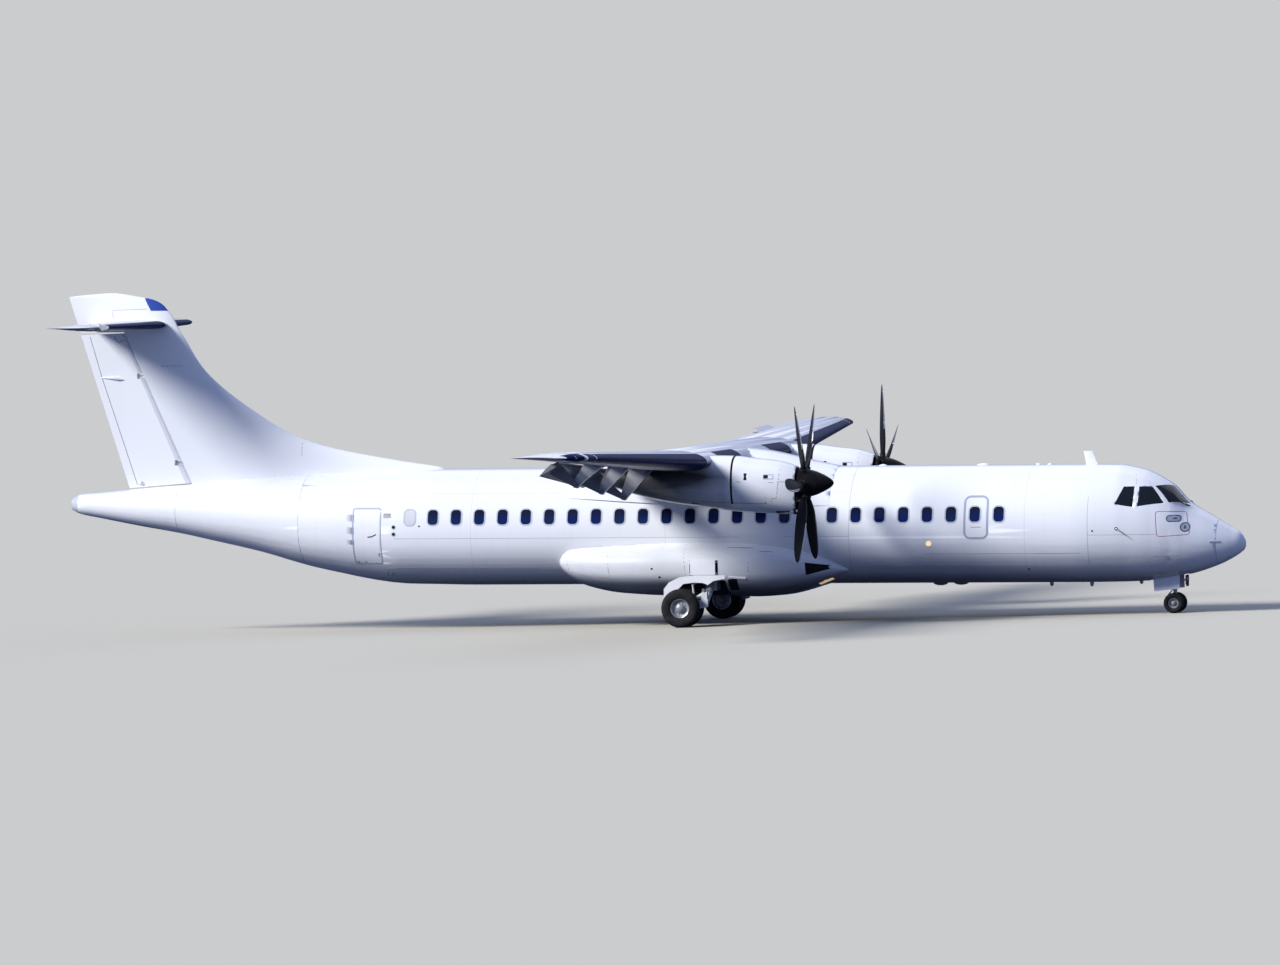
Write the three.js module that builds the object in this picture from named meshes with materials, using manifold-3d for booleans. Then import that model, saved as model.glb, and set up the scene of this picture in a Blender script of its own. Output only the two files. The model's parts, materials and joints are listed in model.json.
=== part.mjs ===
// A twin turboprop airliner that stands on its gear, with its flaps down, as when it taxies in.
// Lengths are in millimetres. In the finished part x points forward, y to port and z up.
// While the airframe is made, a place is given as station, side and height: the station is
// measured aft from the tip of the nose, the side from the middle plane to port, and the
// height up from the belly line.
import * as THREE from 'three';
import { mergeVertices } from 'three/addons/utils/BufferGeometryUtils.js';
import Module from 'manifold-3d';

const wasm = await Module();
wasm.setup();

// Driving dimensions of the whole aircraft
const LENGTH = 27170;
const WHEELBASE = 10770;
const MAIN_AXLE = 12370; // station of the main wheels' axle
const NOSE_AXLE = MAIN_AXLE - WHEELBASE;
const BELLY = 880; // belly line above the ground, at the main axle
const NOSE_DOWN = THREE.MathUtils.degToRad(1);
const TRACK = 4100; // between the middles of the two pairs of main wheels
const SPAN = 27050;
const ENGINE_SIDE = 4050; // from the middle plane to each propeller's axis
const PROP_HEIGHT = 2385;
const PROP_STATION = 9080;
const PROP_RADIUS = 1965;
const BLADES = 6;

// Gaps: between fixed pieces that touch, and around pieces that move
const FIT = 0.3;
const CLEAR = 8;
const DOOR_GAP = 6;

// Rest positions, in degrees
const FLAP_DOWN = 33;
const SPOILER_UP = 35;

// Body sections: station, top, bottom, half width
const RADOME_SEAM = 580;
const TAIL_SEAM = 21500;
const CAP_SEAM = 26980;
const BODY = [
  [0, 880, 800, 40], [40, 985, 700, 120], [100, 1080, 650, 200], [290, 1200, 525, 360],
  [RADOME_SEAM, 1380, 383, 548], [830, 1530, 290, 690], [1100, 1690, 205, 820], [1250, 1800, 170, 885],
  [1400, 1960, 140, 950], [1560, 2140, 110, 1010], [1750, 2270, 80, 1080], [1940, 2380, 52, 1135],
  [2180, 2490, 28, 1200], [2490, 2570, 15, 1265], [2780, 2620, 8, 1320], [3720, 2630, 0, 1420],
  [4500, 2630, 0, 1432], [17600, 2630, 0, 1432], [18460, 2630, 17, 1420], [19200, 2603, 33, 1400],
  [19900, 2577, 113, 1350], [20700, 2548, 268, 1280], [TAIL_SEAM, 2518, 445, 1180], [22600, 2451, 760, 1020],
  [23800, 2369, 1033, 820], [24600, 2312, 1207, 690], [25500, 2236, 1365, 540], [26500, 2147, 1560, 360],
  [CAP_SEAM, 2104, 1660, 260], [27170, 2000, 1750, 110],
];
const BODY_SIDES = 28;
const WIDEST = 0.4553; // height of the widest line, as a share of the section's height
const ROUND_TOP = 2; // exponent of the upper half of a section
const FULL_BELLY = 2.25; // and of its lower half
const TAIL_SHELL = 60;
const TAIL_HOLLOW_END = 26500;
const FLIGHT_DECK_END = 4500;

// Flying surfaces
const WING = {
  kink: 4750, lead: 11100, height: 2870, chord: 2570, thick: 0.18,
  tipLead: 11770, tipChord: 1550, tipThick: 0.13, dihedral: 2.6, camber: 0.02,
  boxEnd: 13070, // where the wing's fixed structure ends and the aileron's horn begins
};
const TAILPLANE = {
  half: 3655, lead: 24820, chord: 1870, tipLead: 25270, tipChord: 1340, height: 5960, thick: 0.12,
};
const CHORD_STEPS = [1, 0.82, 0.6, 0.38, 0.2, 0.08, 0.02, 0];
const COVE = 0.65; // share of the chord where the wing ends ahead of the flap
const SHROUD = 0.8; // share of the chord where the wing's upper skin ends
const AILERON_HINGE = 0.72;
const ELEVATOR_HINGE = 0.62;
const AILERON_SPAN = [9900, 13100];
const ELEVATOR_SPAN = [180, 3300];
const SPOILER_SPAN = [8250, 9750];
const SPOILER_FRONT = 0.7;
const AILERON_BRACKETS = [0.12, 0.85]; // places along the hinge line, as shares of it
const ELEVATOR_BRACKETS = [0.1, 0.8];
const ELEVATOR_HORN = [[3325, 0.16, 1], [3565, 0.24, 0.7], [TAILPLANE.half, 0.42, 0.15]];
const HINGE_PIN = 15;
const BRACKET = 24; // half width of a bracket
// Balance horn of the aileron, which is also the wing's tip: side, share cut off the front, thickness
const AILERON_HORN = [[13095, 0.03, 1], [13350, 0.1, 0.85], [13480, 0.22, 0.5], [SPAN / 2, 0.36, 0.12]];
// Flaps: inner and outer end, how much lower the vane sits at each, and the sides of the hinge brackets
const FLAPS = {
  inner: {
    span: [1560, 3500], vaneDrop: [0, 0], brackets: [1800, 3250],
    hinge: [[12910, 1560, 2200], [12910, 3500, 2200]],
  },
  outer: {
    span: [4640, 9800], vaneDrop: [0, 36], brackets: [5200, 7100, 9200],
    hinge: [[12910, 5200, 2170], [12980, 9200, 2580]],
  },
};

// Outlines of flap and vane: share of the chord, upper (1), middle (0) or lower (-1) surface, rise
const FLAP_OUTLINE = [
  [1, 1, 0], [0.9, 1, 0], [0.82, 1, -6], [0.79, 1, -44], [0.755, 1, -62],
  [0.74, 0, 10], [0.745, -1, 22], [0.77, -1, 4], [0.88, -1, 0], [1, -1, 0],
];
const VANE_OUTLINE = [
  [0.728, 1, -74], [0.705, 1, -62], [0.685, 1, -72], [0.674, 0, 24], [0.682, 0, 4], [0.705, 0, 18],
];
// Ribs between flap and vane: shares of the chord, distance under the upper surface, rise of the foot
const RIB = { front: 0.69, back: 0.76, below: 80, foot: 12, half: 9 };
const ARM_SIDE = 92; // from the middle of a fixed bracket to the middle of the flap's arm beside it
const ARM_HALF = 28;
const ARM_FOOT = [0.765, 0.93]; // where an arm meets the flap, as shares of the chord
const ARM_EYE = [[-45, -80], [50, -70]]; // an arm's lower corners about the hinge: station, height
const ARM_SINK = 20;
const POD_FOOT = [0.42, 0.64]; // where a fixed bracket meets the wing
const POD_SINK = 60;
const POD_EYE = [[-120, 0], [-40, -100], [50, -80], [50, 50]]; // a fixed bracket's corners about the hinge
const POD_HALF = 54;
const FLAP_PIN = 18;

// Fin: height, station of its leading edge
const FIN = [
  [2200, 18250], [2630, 18340], [2810, 19350], [2970, 20250], [3080, 20810], [3230, 21380], [3530, 22100],
  [3980, 22820], [4500, 23530], [4970, 24010], [5720, 24480], [5850, 24565],
];
// Fin cap over the tailplane: height, leading edge, trailing edge, half thickness
const FIN_CAP = [
  [5800, 24540, 26910, 90], [6100, 24690, 27010, 85], [6300, 24840, 27075, 74], [6420, 24950, 27110, 64],
  [6550, 25220, 27150, 48], [6610, 25550, 27170, 36], [6660, 25830, 26700, 20], [6690, 26040, 26250, 6],
];
// Section of the fin and its cap: share of the length, share of the half thickness
const CAP_SHAPE = [[0, 0], [0.04, 0.45], [0.14, 0.8], [0.36, 1], [0.7, 0.72], [1, 0.04]];
const FIN_STEPS = [0, 0.03, 0.1, 0.22, 0.4, 0.7, 1];
const RUDDER_HINGE = { station: 24700, height: 2970, slope: 0.4377 };
const RUDDER_EDGE = { station: 25800, height: 2230, slope: 0.3136 };
const RUDDER_SPAN = [2200, 5775];
const RUDDER_SLANT = 36; // how much lower the rudder's head ends at its trailing edge
const RUDDER_NOSE = [150, 85]; // radius at its foot and its head
const RUDDER_PINS = {
  span: [2500, 5600], places: [0.1, 0.74], reach: 110,
  bracket: { ahead: 190, behind: 20, half: 24, rise: 24 },
  notch: { ahead: 260, behind: 55, half: 200, rise: 60 },
};

// Nacelle sections, about its own middle plane: station, top, bottom, half width
const NACELLE = [
  [9250, 2760, 1700, 400], [9400, 2812, 1705, 440], [9610, 2870, 1715, 480], [10160, 2940, 1745, 530],
  [10640, 3000, 1775, 550], [11150, 3010, 1845, 550], [11700, 2920, 1915, 530], [12300, 2850, 2010, 480],
  [13000, 2790, 2180, 390], [13600, 2740, 2400, 240], [13950, 2680, 2540, 80],
];
const NACELLE_SIDES = 20;
const NACELLE_SQUARE = 2.4;
const NACELLE_REACH = 1100; // side distance from its middle that the nacelle doesn't reach
const ENGINE = { front: 9550, back: 11550, half: 330, bottom: 1980, top: 2660 };
const INTAKE = { front: 9200, back: 9700, half: 270, bottom: 1735, top: 1975 };
const SHAFT = { back: 9640, end: 9700, radius: 70, nacelleRoom: 92, engineRoom: 82 };
// Hub and back plate of a propeller: from and to, ahead of the plane of its blades, and radius
const HUB = { from: -110, to: 130, radius: 200 };
const BACK_PLATE = { from: -114, to: -100, radius: 310 };
const SPINNER = [[8440, 0], [8490, 80], [8640, 175], [8880, 275], [9200, 340]];
const SPINNER_WALL = 12;
const BLADE_HOLE = { reach: [150, 500], radius: 70 };

// Blade sections: radius, chord, thickness, pitch from the plane of turning in degrees
const BLADE = [
  [150, 125, 110, 50], [380, 125, 105, 50], [540, 200, 66, 46], [850, 300, 42, 37],
  [1250, 335, 27, 30], [1700, 290, 16, 24], [PROP_RADIUS, 120, 7, 21],
];

// Wing to body fairing: station, thickness at its edge, rise at the top, angle of its edge
const HUMP = [
  [9170, 8, 4, 24], [9700, 25, 90, 24], [10300, 35, 230, 24], [10900, 40, 345, 24], [11500, 40, 400, 24],
  [12500, 40, 400, 25], [13300, 40, 350, 27], [14000, 38, 235, 29], [14600, 30, 110, 31], [15150, 8, 8, 33],
];
const HUMP_STEPS = 12;
const HUMP_REACH = 2600;

// Landing gear fairing: station, top, bottom, half width
const GEAR_FAIRING = [
  [8800, 440, 250, 1120], [9080, 670, 130, 1300], [9590, 900, -50, 1550], [10340, 1040, -240, 1780],
  [11000, 1090, -280, 1900], [11560, 1105, -265, 1930], [12970, 1105, -250, 1930], [14070, 1060, -190, 1830],
  [14800, 1045, -50, 1690], [15150, 1000, 110, 1530], [15300, 860, 250, 1430], [15370, 720, 380, 1330],
];
const FAIRING_SQUARE = 2.6;
// Bay over each pair of main wheels: its sides, and its outline of station and height
const MAIN_BAY = {
  inner: 1100, outer: 2100,
  outline: [[11430, -500], [11430, 150], [12560, 150], [12770, -60], [12770, -500]],
};

// Landing gear doors, by their outlines of station and height, and the sides of their faces
const MAIN_DOOR = {
  sides: [2030, 2050],
  outline: [
    [12800, -210], [12800, -30], [12680, 120], [12440, 235], [12100, 275], [11400, 275], [11400, 200],
    [11660, 150], [11790, 60], [11900, 105], [12100, 115], [12350, 85], [12470, -30], [12540, -215],
  ],
};
const NOSE_DOOR = { sides: [285, 300], outline: [[2040, 120], [1450, 230], [1440, -140], [2020, -205]] };

// Wheels: tyre radius, width, rim radius, side of each tyre's middle
const MAIN_WHEEL = { radius: 432, width: 250, rim: 212, sides: [-200, 200], axle: 55, steps: 20 };
const NOSE_WHEEL = { radius: 225, width: 185, rim: 112, sides: [-200, 200], axle: 32, steps: 16 };
// Main leg: distance ahead of the axle, beam in the bay, slanted tube, post, trailing arm and damper
const MAIN_LEG = {
  ahead: 520, side: TRACK / 2,
  beam: { half: 130, outer: 1450, bottom: -90, top: 130 },
  tube: { side: 1400, height: 30, rise: 120, radius: 80 },
  post: { half: 50, top: -90, outline: [[-50, 150], [90, 150]], head: [70, -50] },
  arm: {
    half: 56, front: [[-70, 190], [70, 190]], foot: [-60, 20],
    back: [[60, 75], [80, 0], [50, -75], [-50, -80]],
  },
  damper: { top: [30, -130], bottom: [-60, 70], radius: 42 },
  eye: 100,
};
// Nose leg: height where its turning part leaves it, then the fixed pieces and the turning ones
const NOSE_LEG = {
  collar: -90, strut: 65, brace: { top: -30, height: 60, foot: 60, radius: 30 },
  lampPlate: [[-275, -255], [-150, 150], [-60, 150]], link: [[-260, -50], [-20, 20], [20, 60]],
  piston: 45, block: [[-55, 55], [-70, 70], [-55, 60]], eye: 90,
};
const NOSE_BAY = { front: 1250, back: 2150, half: 260, top: 650 };

// Doors and exits: stations of their front and back edge, heights of their sill and head
const PASSENGER_DOOR = { front: 19500, back: 20250, sill: 480, head: 2180, depth: 90 };
const CARGO_DOOR = { front: 3300, back: 4580, sill: 500, head: 2030, depth: 90 };
const SERVICE_DOOR = { front: 19540, back: 20150, sill: 560, head: 1760, depth: 60 };
const EXIT = { front: 5580, back: 6050, sill: 1070, head: 1940, depth: 60 };
const VESTIBULE = 450; // side distance of the inner wall behind the two doors that open
const BEYOND_SKIN = 1700; // side distance that no skin reaches, for the boxes that cut the openings
const POCKET_INNER = 800;
const PANEL_INNER = 300;

// Flat pads for jacks: station, side, height of the pad's face, and how far it reaches up
const NOSE_JACK = { station: 4300, side: 0, face: -25, up: 80 };
const MAIN_JACK = { station: 10950, side: 900, face: -300, up: 120 };
const JACK_RADIUS = 60;

// Flight deck panes on the port side, by their corners: station, side, height
const PANES = {
  windshield: [[1900, 620, 2147], [1571, 120, 2139], [1196, 140, 1748], [1575, 755, 1781]],
  side_window: [[2224, 820, 2144], [1960, 675, 2139], [1681, 830, 1774], [2231, 1100, 1714]],
  rear_window: [[2555, 920, 2147], [2328, 850, 2145], [2336, 1130, 1705], [2723, 1195, 1767]],
};
const PANE_DEPTH = 25;
const PANE_REACH = 170; // how far a pane's cutting block stands out on each side

// Finishes: colour, roughness, metalness
const FINISH = Object.fromEntries(Object.entries({
  white: [0xf1f3f6, 0.28, 0], blade: [0x17181a, 0.45, 0], glass: [0x0b1019, 0.08, 0],
  tyre: [0x1b1b1c, 0.85, 0], rim: [0xb9bcc0, 0.35, 0.8], steel: [0xd5d8db, 0.4, 0.2],
  engine: [0x55585c, 0.6, 0.6],
}).map(([name, [color, roughness, metalness]]) => [
  name, new THREE.MeshStandardMaterial({ color, roughness, metalness }),
]));

const root = new THREE.Group();
const stance = new THREE.Group();
const airframe = new THREE.Group();
airframe.position.set(MAIN_AXLE, 0, BELLY);
stance.rotation.y = NOSE_DOWN;
stance.add(airframe);
root.add(stance);

// Point of the airframe from its station, side and height
function at(station, side, height) {
  return new THREE.Vector3(-station, side, height);
}

// Height in the airframe of a point that is a given height above the sloping ground
function aboveGround(station, height) {
  const ahead = (MAIN_AXLE - station) / Math.cos(NOSE_DOWN);
  return height / Math.cos(NOSE_DOWN) - BELLY + ahead * Math.sin(NOSE_DOWN);
}

function power(value, exponent) {
  return Math.sign(value) * Math.abs(value) ** exponent;
}

function mix(a, b, share) {
  return a + (b - a) * share;
}

// A closed solid through rings of equal length, with a flat cap on each end.
// Its four-sided faces are halved the same way to port and to starboard.
function loft(rings) {
  const count = rings[0].length;
  const vertices = rings.flat().flatMap((p) => [p.x, p.y, p.z]);
  const faces = [];
  for (let r = 0; r + 1 < rings.length; r += 1) {
    for (let i = 0; i < count; i += 1) {
      const a = r * count + i;
      const b = r * count + ((i + 1) % count);
      const port = vertices[a * 3 + 1] + vertices[b * 3 + 1] > 0;
      if (port) faces.push([a, b, b + count], [a, b + count, a + count]);
      else faces.push([a, b, a + count], [b, b + count, a + count]);
    }
  }
  const last = (rings.length - 1) * count;
  for (const [a, b, c] of capFaces(rings[0])) faces.push([c, b, a]);
  for (const [a, b, c] of capFaces(rings[rings.length - 1])) faces.push([last + a, last + b, last + c]);
  return solidFrom(vertices, faces);
}

// Triangles over a flat ring, turned the same way as the ring
function capFaces(ring) {
  const normal = new THREE.Vector3();
  ring.forEach((p, i) => normal.add(new THREE.Vector3().crossVectors(p, ring[(i + 1) % ring.length])));
  normal.normalize();
  const aside = Math.abs(normal.z) > 0.9 ? at(1, 0, 0) : at(0, 0, 1);
  const across = new THREE.Vector3().crossVectors(aside, normal);
  const along = new THREE.Vector3().crossVectors(normal, across);
  const flat = ring.map((p) => new THREE.Vector2(p.dot(across), p.dot(along)));
  return THREE.ShapeUtils.triangulateShape(flat, []);
}

// A solid from points and faces, with the faces turned outwards
function solidFrom(vertices, faces) {
  const point = (i) => new THREE.Vector3().fromArray(vertices, i * 3);
  const volume = faces.reduce((sum, [a, b, c]) => sum + point(a).dot(point(b).cross(point(c))), 0);
  const outward = volume > 0 ? faces : faces.map(([a, b, c]) => [c, b, a]);
  const mesh = new wasm.Mesh({
    numProp: 3, vertProperties: new Float32Array(vertices), triVerts: new Uint32Array(outward.flat()),
  });
  return new wasm.Manifold(mesh);
}

function solidOf(geometry) {
  const bare = geometry.clone();
  bare.deleteAttribute('normal');
  bare.deleteAttribute('uv');
  const merged = mergeVertices(bare, 1e-3);
  const index = Array.from(merged.index.array);
  const faces = [];
  for (let i = 0; i < index.length; i += 3) {
    const [a, b, c] = index.slice(i, i + 3);
    if (a !== b && b !== c && c !== a) faces.push([a, b, c]);
  }
  return solidFrom(Array.from(merged.attributes.position.array), faces);
}

function geometryOf(solid) {
  const { vertProperties, triVerts } = solid.getMesh();
  const geometry = new THREE.BufferGeometry();
  geometry.setAttribute('position', new THREE.BufferAttribute(vertProperties, 3));
  geometry.setIndex(new THREE.BufferAttribute(triVerts, 1));
  return geometry;
}

function join(...solids) {
  return solids.reduce((whole, solid) => whole.add(solid));
}

function cut(solid, ...tools) {
  return tools.reduce((rest, tool) => rest.subtract(tool), solid);
}

function box([s0, s1], [y0, y1], [h0, h1]) {
  const geometry = new THREE.BoxGeometry(s1 - s0, y1 - y0, h1 - h0);
  const middle = at((s0 + s1) / 2, (y0 + y1) / 2, (h0 + h1) / 2);
  return solidOf(geometry.translate(middle.x, middle.y, middle.z));
}

function rod(from, to, radius, sides = 12, endRadius = radius) {
  const axis = new THREE.Vector3().subVectors(to, from);
  const geometry = new THREE.CylinderGeometry(endRadius, radius, axis.length(), sides);
  const own = new THREE.Vector3(0, 1, 0);
  const turn = new THREE.Quaternion().setFromUnitVectors(own, axis.clone().normalize());
  geometry.applyQuaternion(turn);
  const middle = new THREE.Vector3().addVectors(from, to).multiplyScalar(0.5);
  return solidOf(geometry.translate(middle.x, middle.y, middle.z));
}

// A plate with an outline of station and height, between two sides
function plate(outline, y0, y1) {
  return loft([y0, y1].map((y) => outline.map(([s, h]) => at(s, y, h))));
}

// A solid turned about a line through centre and parallel to the sides' axis
function turned(profile, centre, steps) {
  const points = profile.map(([radius, side]) => new THREE.Vector2(radius, side));
  const geometry = new THREE.LatheGeometry([...points, points[0]], steps, Math.PI / 2);
  return solidOf(geometry.translate(centre.x, centre.y, centre.z));
}

function mirrored(solid) {
  return solid.mirror([0, 1, 0]);
}

// One mesh in the airframe
function piece(name, solid, finish) {
  const mesh = new THREE.Mesh(geometryOf(solid), FINISH[finish]);
  mesh.name = name;
  airframe.add(mesh);
  return mesh;
}

// One mesh that turns about the line from a to b. Its own y axis lies on that line.
function hinged(name, solid, finish, a, b, degrees = 0) {
  const axis = new THREE.Vector3().subVectors(b, a).normalize();
  const turn = new THREE.Quaternion().setFromUnitVectors(new THREE.Vector3(0, 1, 0), axis);
  const toHinge = new THREE.Matrix4().compose(a, turn, new THREE.Vector3(1, 1, 1)).invert();
  const mesh = piece(name, solid, finish);
  mesh.geometry.applyMatrix4(toHinge);
  mesh.position.copy(a);
  mesh.quaternion.copy(turn);
  mesh.rotateY(THREE.MathUtils.degToRad(degrees));
  return mesh;
}

// Both sides of a pair: the port solid is mirrored for starboard
function pair(name, solid, finish) {
  piece(`${name}_left`, solid, finish);
  piece(`${name}_right`, mirrored(solid), finish);
}

// A ring with a rounded square outline across the stations
function roundRing([station, top, bottom, half], shape) {
  const { grow = 0, middleSide = 0, sides, upper, lower, widest = 0.5 } = shape;
  const middle = mix(bottom, top, widest);
  return Array.from({ length: sides }, (_, i) => {
    const angle = (2 * Math.PI * i) / sides;
    const exponent = 2 / (Math.sin(angle) >= 0 ? upper : lower);
    const reach = grow + (Math.sin(angle) >= 0 ? top - middle : middle - bottom);
    const side = middleSide + (half + grow) * power(Math.cos(angle), exponent);
    return at(station, side, middle + reach * power(Math.sin(angle), exponent));
  });
}

const BODY_SHAPE = { sides: BODY_SIDES, upper: ROUND_TOP, lower: FULL_BELLY, widest: WIDEST };

function bodyBetween(front, back, grow = 0) {
  const rings = BODY.filter(([station]) => station >= front && station <= back);
  return loft(rings.map((row) => roundRing(row, { ...BODY_SHAPE, grow })));
}

// Body section at any station, between the rows of the table
function bodyRow(station) {
  const next = BODY.findIndex(([s]) => s >= station);
  const [a, b] = [BODY[Math.max(next - 1, 0)], BODY[next]];
  const share = b[0] === a[0] ? 0 : (station - a[0]) / (b[0] - a[0]);
  return a.map((value, i) => mix(value, b[i], share));
}

// Side distance of the body's skin at a station and height
function skinSide(station, height) {
  const [, top, bottom, half] = bodyRow(station);
  const middle = mix(bottom, top, WIDEST);
  const upper = height >= middle;
  const share = Math.abs(height - middle) / (upper ? top - middle : middle - bottom);
  const exponent = upper ? ROUND_TOP : FULL_BELLY;
  return half * (1 - share ** exponent) ** (1 / exponent);
}

// Half thickness of a flying surface, as a share of its chord
function halfThickness(share, thick) {
  const closing = 0.126 * share + 0.3516 * share ** 2 - 0.2843 * share ** 3 + 0.1015 * share ** 4;
  return 5 * thick * (0.2969 * Math.sqrt(share) - closing);
}

// The wing's section at a side distance
function wingAt(side) {
  const out = Math.max(Math.abs(side) - WING.kink, 0);
  const share = out / (SPAN / 2 - WING.kink);
  return {
    side,
    lead: mix(WING.lead, WING.tipLead, share),
    chord: mix(WING.chord, WING.tipChord, share),
    thick: mix(WING.thick, WING.tipThick, share),
    height: WING.height + out * Math.tan(THREE.MathUtils.degToRad(WING.dihedral)),
    camber: WING.camber,
  };
}

function tailplaneAt(side) {
  const share = Math.abs(side) / TAILPLANE.half;
  return {
    side,
    lead: mix(TAILPLANE.lead, TAILPLANE.tipLead, share),
    chord: mix(TAILPLANE.chord, TAILPLANE.tipChord, share),
    thick: TAILPLANE.thick,
    height: TAILPLANE.height,
    camber: 0,
  };
}

// Point of a section: share of the chord, +1 upper, 0 middle or -1 lower surface, and an offset in height
function on(section, share, surface, offset = 0) {
  const middle = section.height + section.chord * 4 * section.camber * share * (1 - share);
  const half = section.chord * halfThickness(Math.min(share, 1), section.thick);
  return at(section.lead + share * section.chord, section.side, middle + surface * half + offset);
}

// Outline on a section, from rows of share of the chord, surface and offset in height
function outlineOn(section, rows, drop = 0) {
  return rows.map(([share, surface, offset]) => on(section, share, surface, offset - drop));
}

function sectionRing(section) {
  const upper = CHORD_STEPS.map((share) => on(section, share, 1));
  const lower = CHORD_STEPS.slice(0, -1).reverse().map((share) => on(section, share, -1));
  return [...upper, ...lower];
}

// Radius of a control surface's nose about its hinge
function noseRadius(section, share) {
  return section.chord * halfThickness(share, section.thick);
}

// The part of a surface behind a hinge, with a round nose about the hinge
function controlRing(section, hinge) {
  const radius = noseRadius(section, hinge) - 1;
  const centre = on(section, hinge, 0);
  const nose = [90, 45, 0, -45, -90].map((angle) => {
    const a = THREE.MathUtils.degToRad(angle);
    return at(-centre.x - radius * Math.cos(a), section.side, centre.z + radius * Math.sin(a));
  });
  const behind = mix(hinge, 1, 0.5);
  return [on(section, 1, 1), on(section, behind, 1), ...nose, on(section, behind, -1), on(section, 1, -1)];
}

// Space behind a flat wall ahead of a hinge, for a control surface
function controlSpace(sections, hinge) {
  return loft(sections.map((section) => {
    const wall = hinge - (noseRadius(section, hinge) + CLEAR) / section.chord;
    return [
      on(section, wall, -1, -40), on(section, wall, 1, 40),
      on(section, 1.02, 1, 60), on(section, 1.02, -1, -60),
    ];
  }));
}

// Brackets that reach from the wall to the hinge line, each with a pin through the control surface
function hingeBrackets(a, b, places, reach) {
  const axis = new THREE.Vector3().subVectors(b, a);
  const unit = axis.clone().normalize();
  return places.map((share) => {
    const centre = a.clone().addScaledVector(axis, share);
    const wall = centre.clone().add(at(-reach, 0, 0));
    const tab = box([-wall.x, -centre.x + HINGE_PIN + 5], [centre.y - BRACKET, centre.y + BRACKET],
      [centre.z - 24, centre.z + 24]);
    const half = unit.clone().multiplyScalar(BRACKET + 60);
    const pin = rod(centre.clone().sub(half), centre.clone().add(half), HINGE_PIN, 8);
    return join(tab, pin);
  });
}

// What a control surface loses around each bracket: a notch and a bore for the pin
function bracketRoom(a, b, places, reach) {
  const axis = new THREE.Vector3().subVectors(b, a);
  const unit = axis.clone().normalize();
  return places.map((share) => {
    const centre = a.clone().addScaledVector(axis, share);
    const notch = box(
      [-centre.x - reach - 60, -centre.x + 45],
      [centre.y - BRACKET - CLEAR, centre.y + BRACKET + CLEAR],
      [centre.z - 200, centre.z + 200],
    );
    const half = unit.clone().multiplyScalar(BRACKET + 66);
    const bore = rod(centre.clone().sub(half), centre.clone().add(half), HINGE_PIN + 3, 8);
    return join(notch, bore);
  });
}

const bodyRoom = bodyBetween(RADOME_SEAM, CAP_SEAM, FIT);

// Space for the middle of the wing between two sides
function wingRoom(from, to) {
  return loft([from, to].map((y) => sectionRing({
    ...wingAt(0), side: y, lead: WING.lead - FIT, chord: WING.chord + 2 * FIT, thick: WING.thick + 0.0005,
  })));
}

function doorBox({ front, back, sill, head }, inner, gap = 0) {
  return box([front + gap, back - gap], [inner, BEYOND_SKIN], [sill + gap, head - gap]);
}

function skinPanel(door, gap) {
  const skin = bodyBetween(RADOME_SEAM, TAIL_SEAM).subtract(bodyBetween(RADOME_SEAM, TAIL_SEAM, -door.depth));
  return skin.intersect(doorBox(door, PANEL_INNER, gap));
}

// A pane's prism along its own normal, with its outline grown about its middle
function paneBlock(corners, grow) {
  const points = corners.map(([s, y, h]) => at(s, y, h));
  const middle = points.reduce((sum, p) => sum.add(p), new THREE.Vector3()).multiplyScalar(1 / points.length);
  const [one, other] = [[0, 2], [1, 3]].map(([from, to]) => points[to].clone().sub(points[from]));
  const normal = new THREE.Vector3().crossVectors(one, other).normalize();
  const spread = points.map((p) => {
    const out = new THREE.Vector3().subVectors(p, middle).projectOnPlane(normal);
    return middle.clone().add(out.multiplyScalar(1 + grow / out.length()));
  });
  const raised = (lift) => spread.map((p) => p.clone().addScaledVector(normal, lift));
  return loft([raised(-PANE_REACH), raised(PANE_REACH)]);
}

function jackPad({ station, side, face, up }) {
  return rod(at(station, side, face), at(station, side, face + up), JACK_RADIUS, 16);
}

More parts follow.
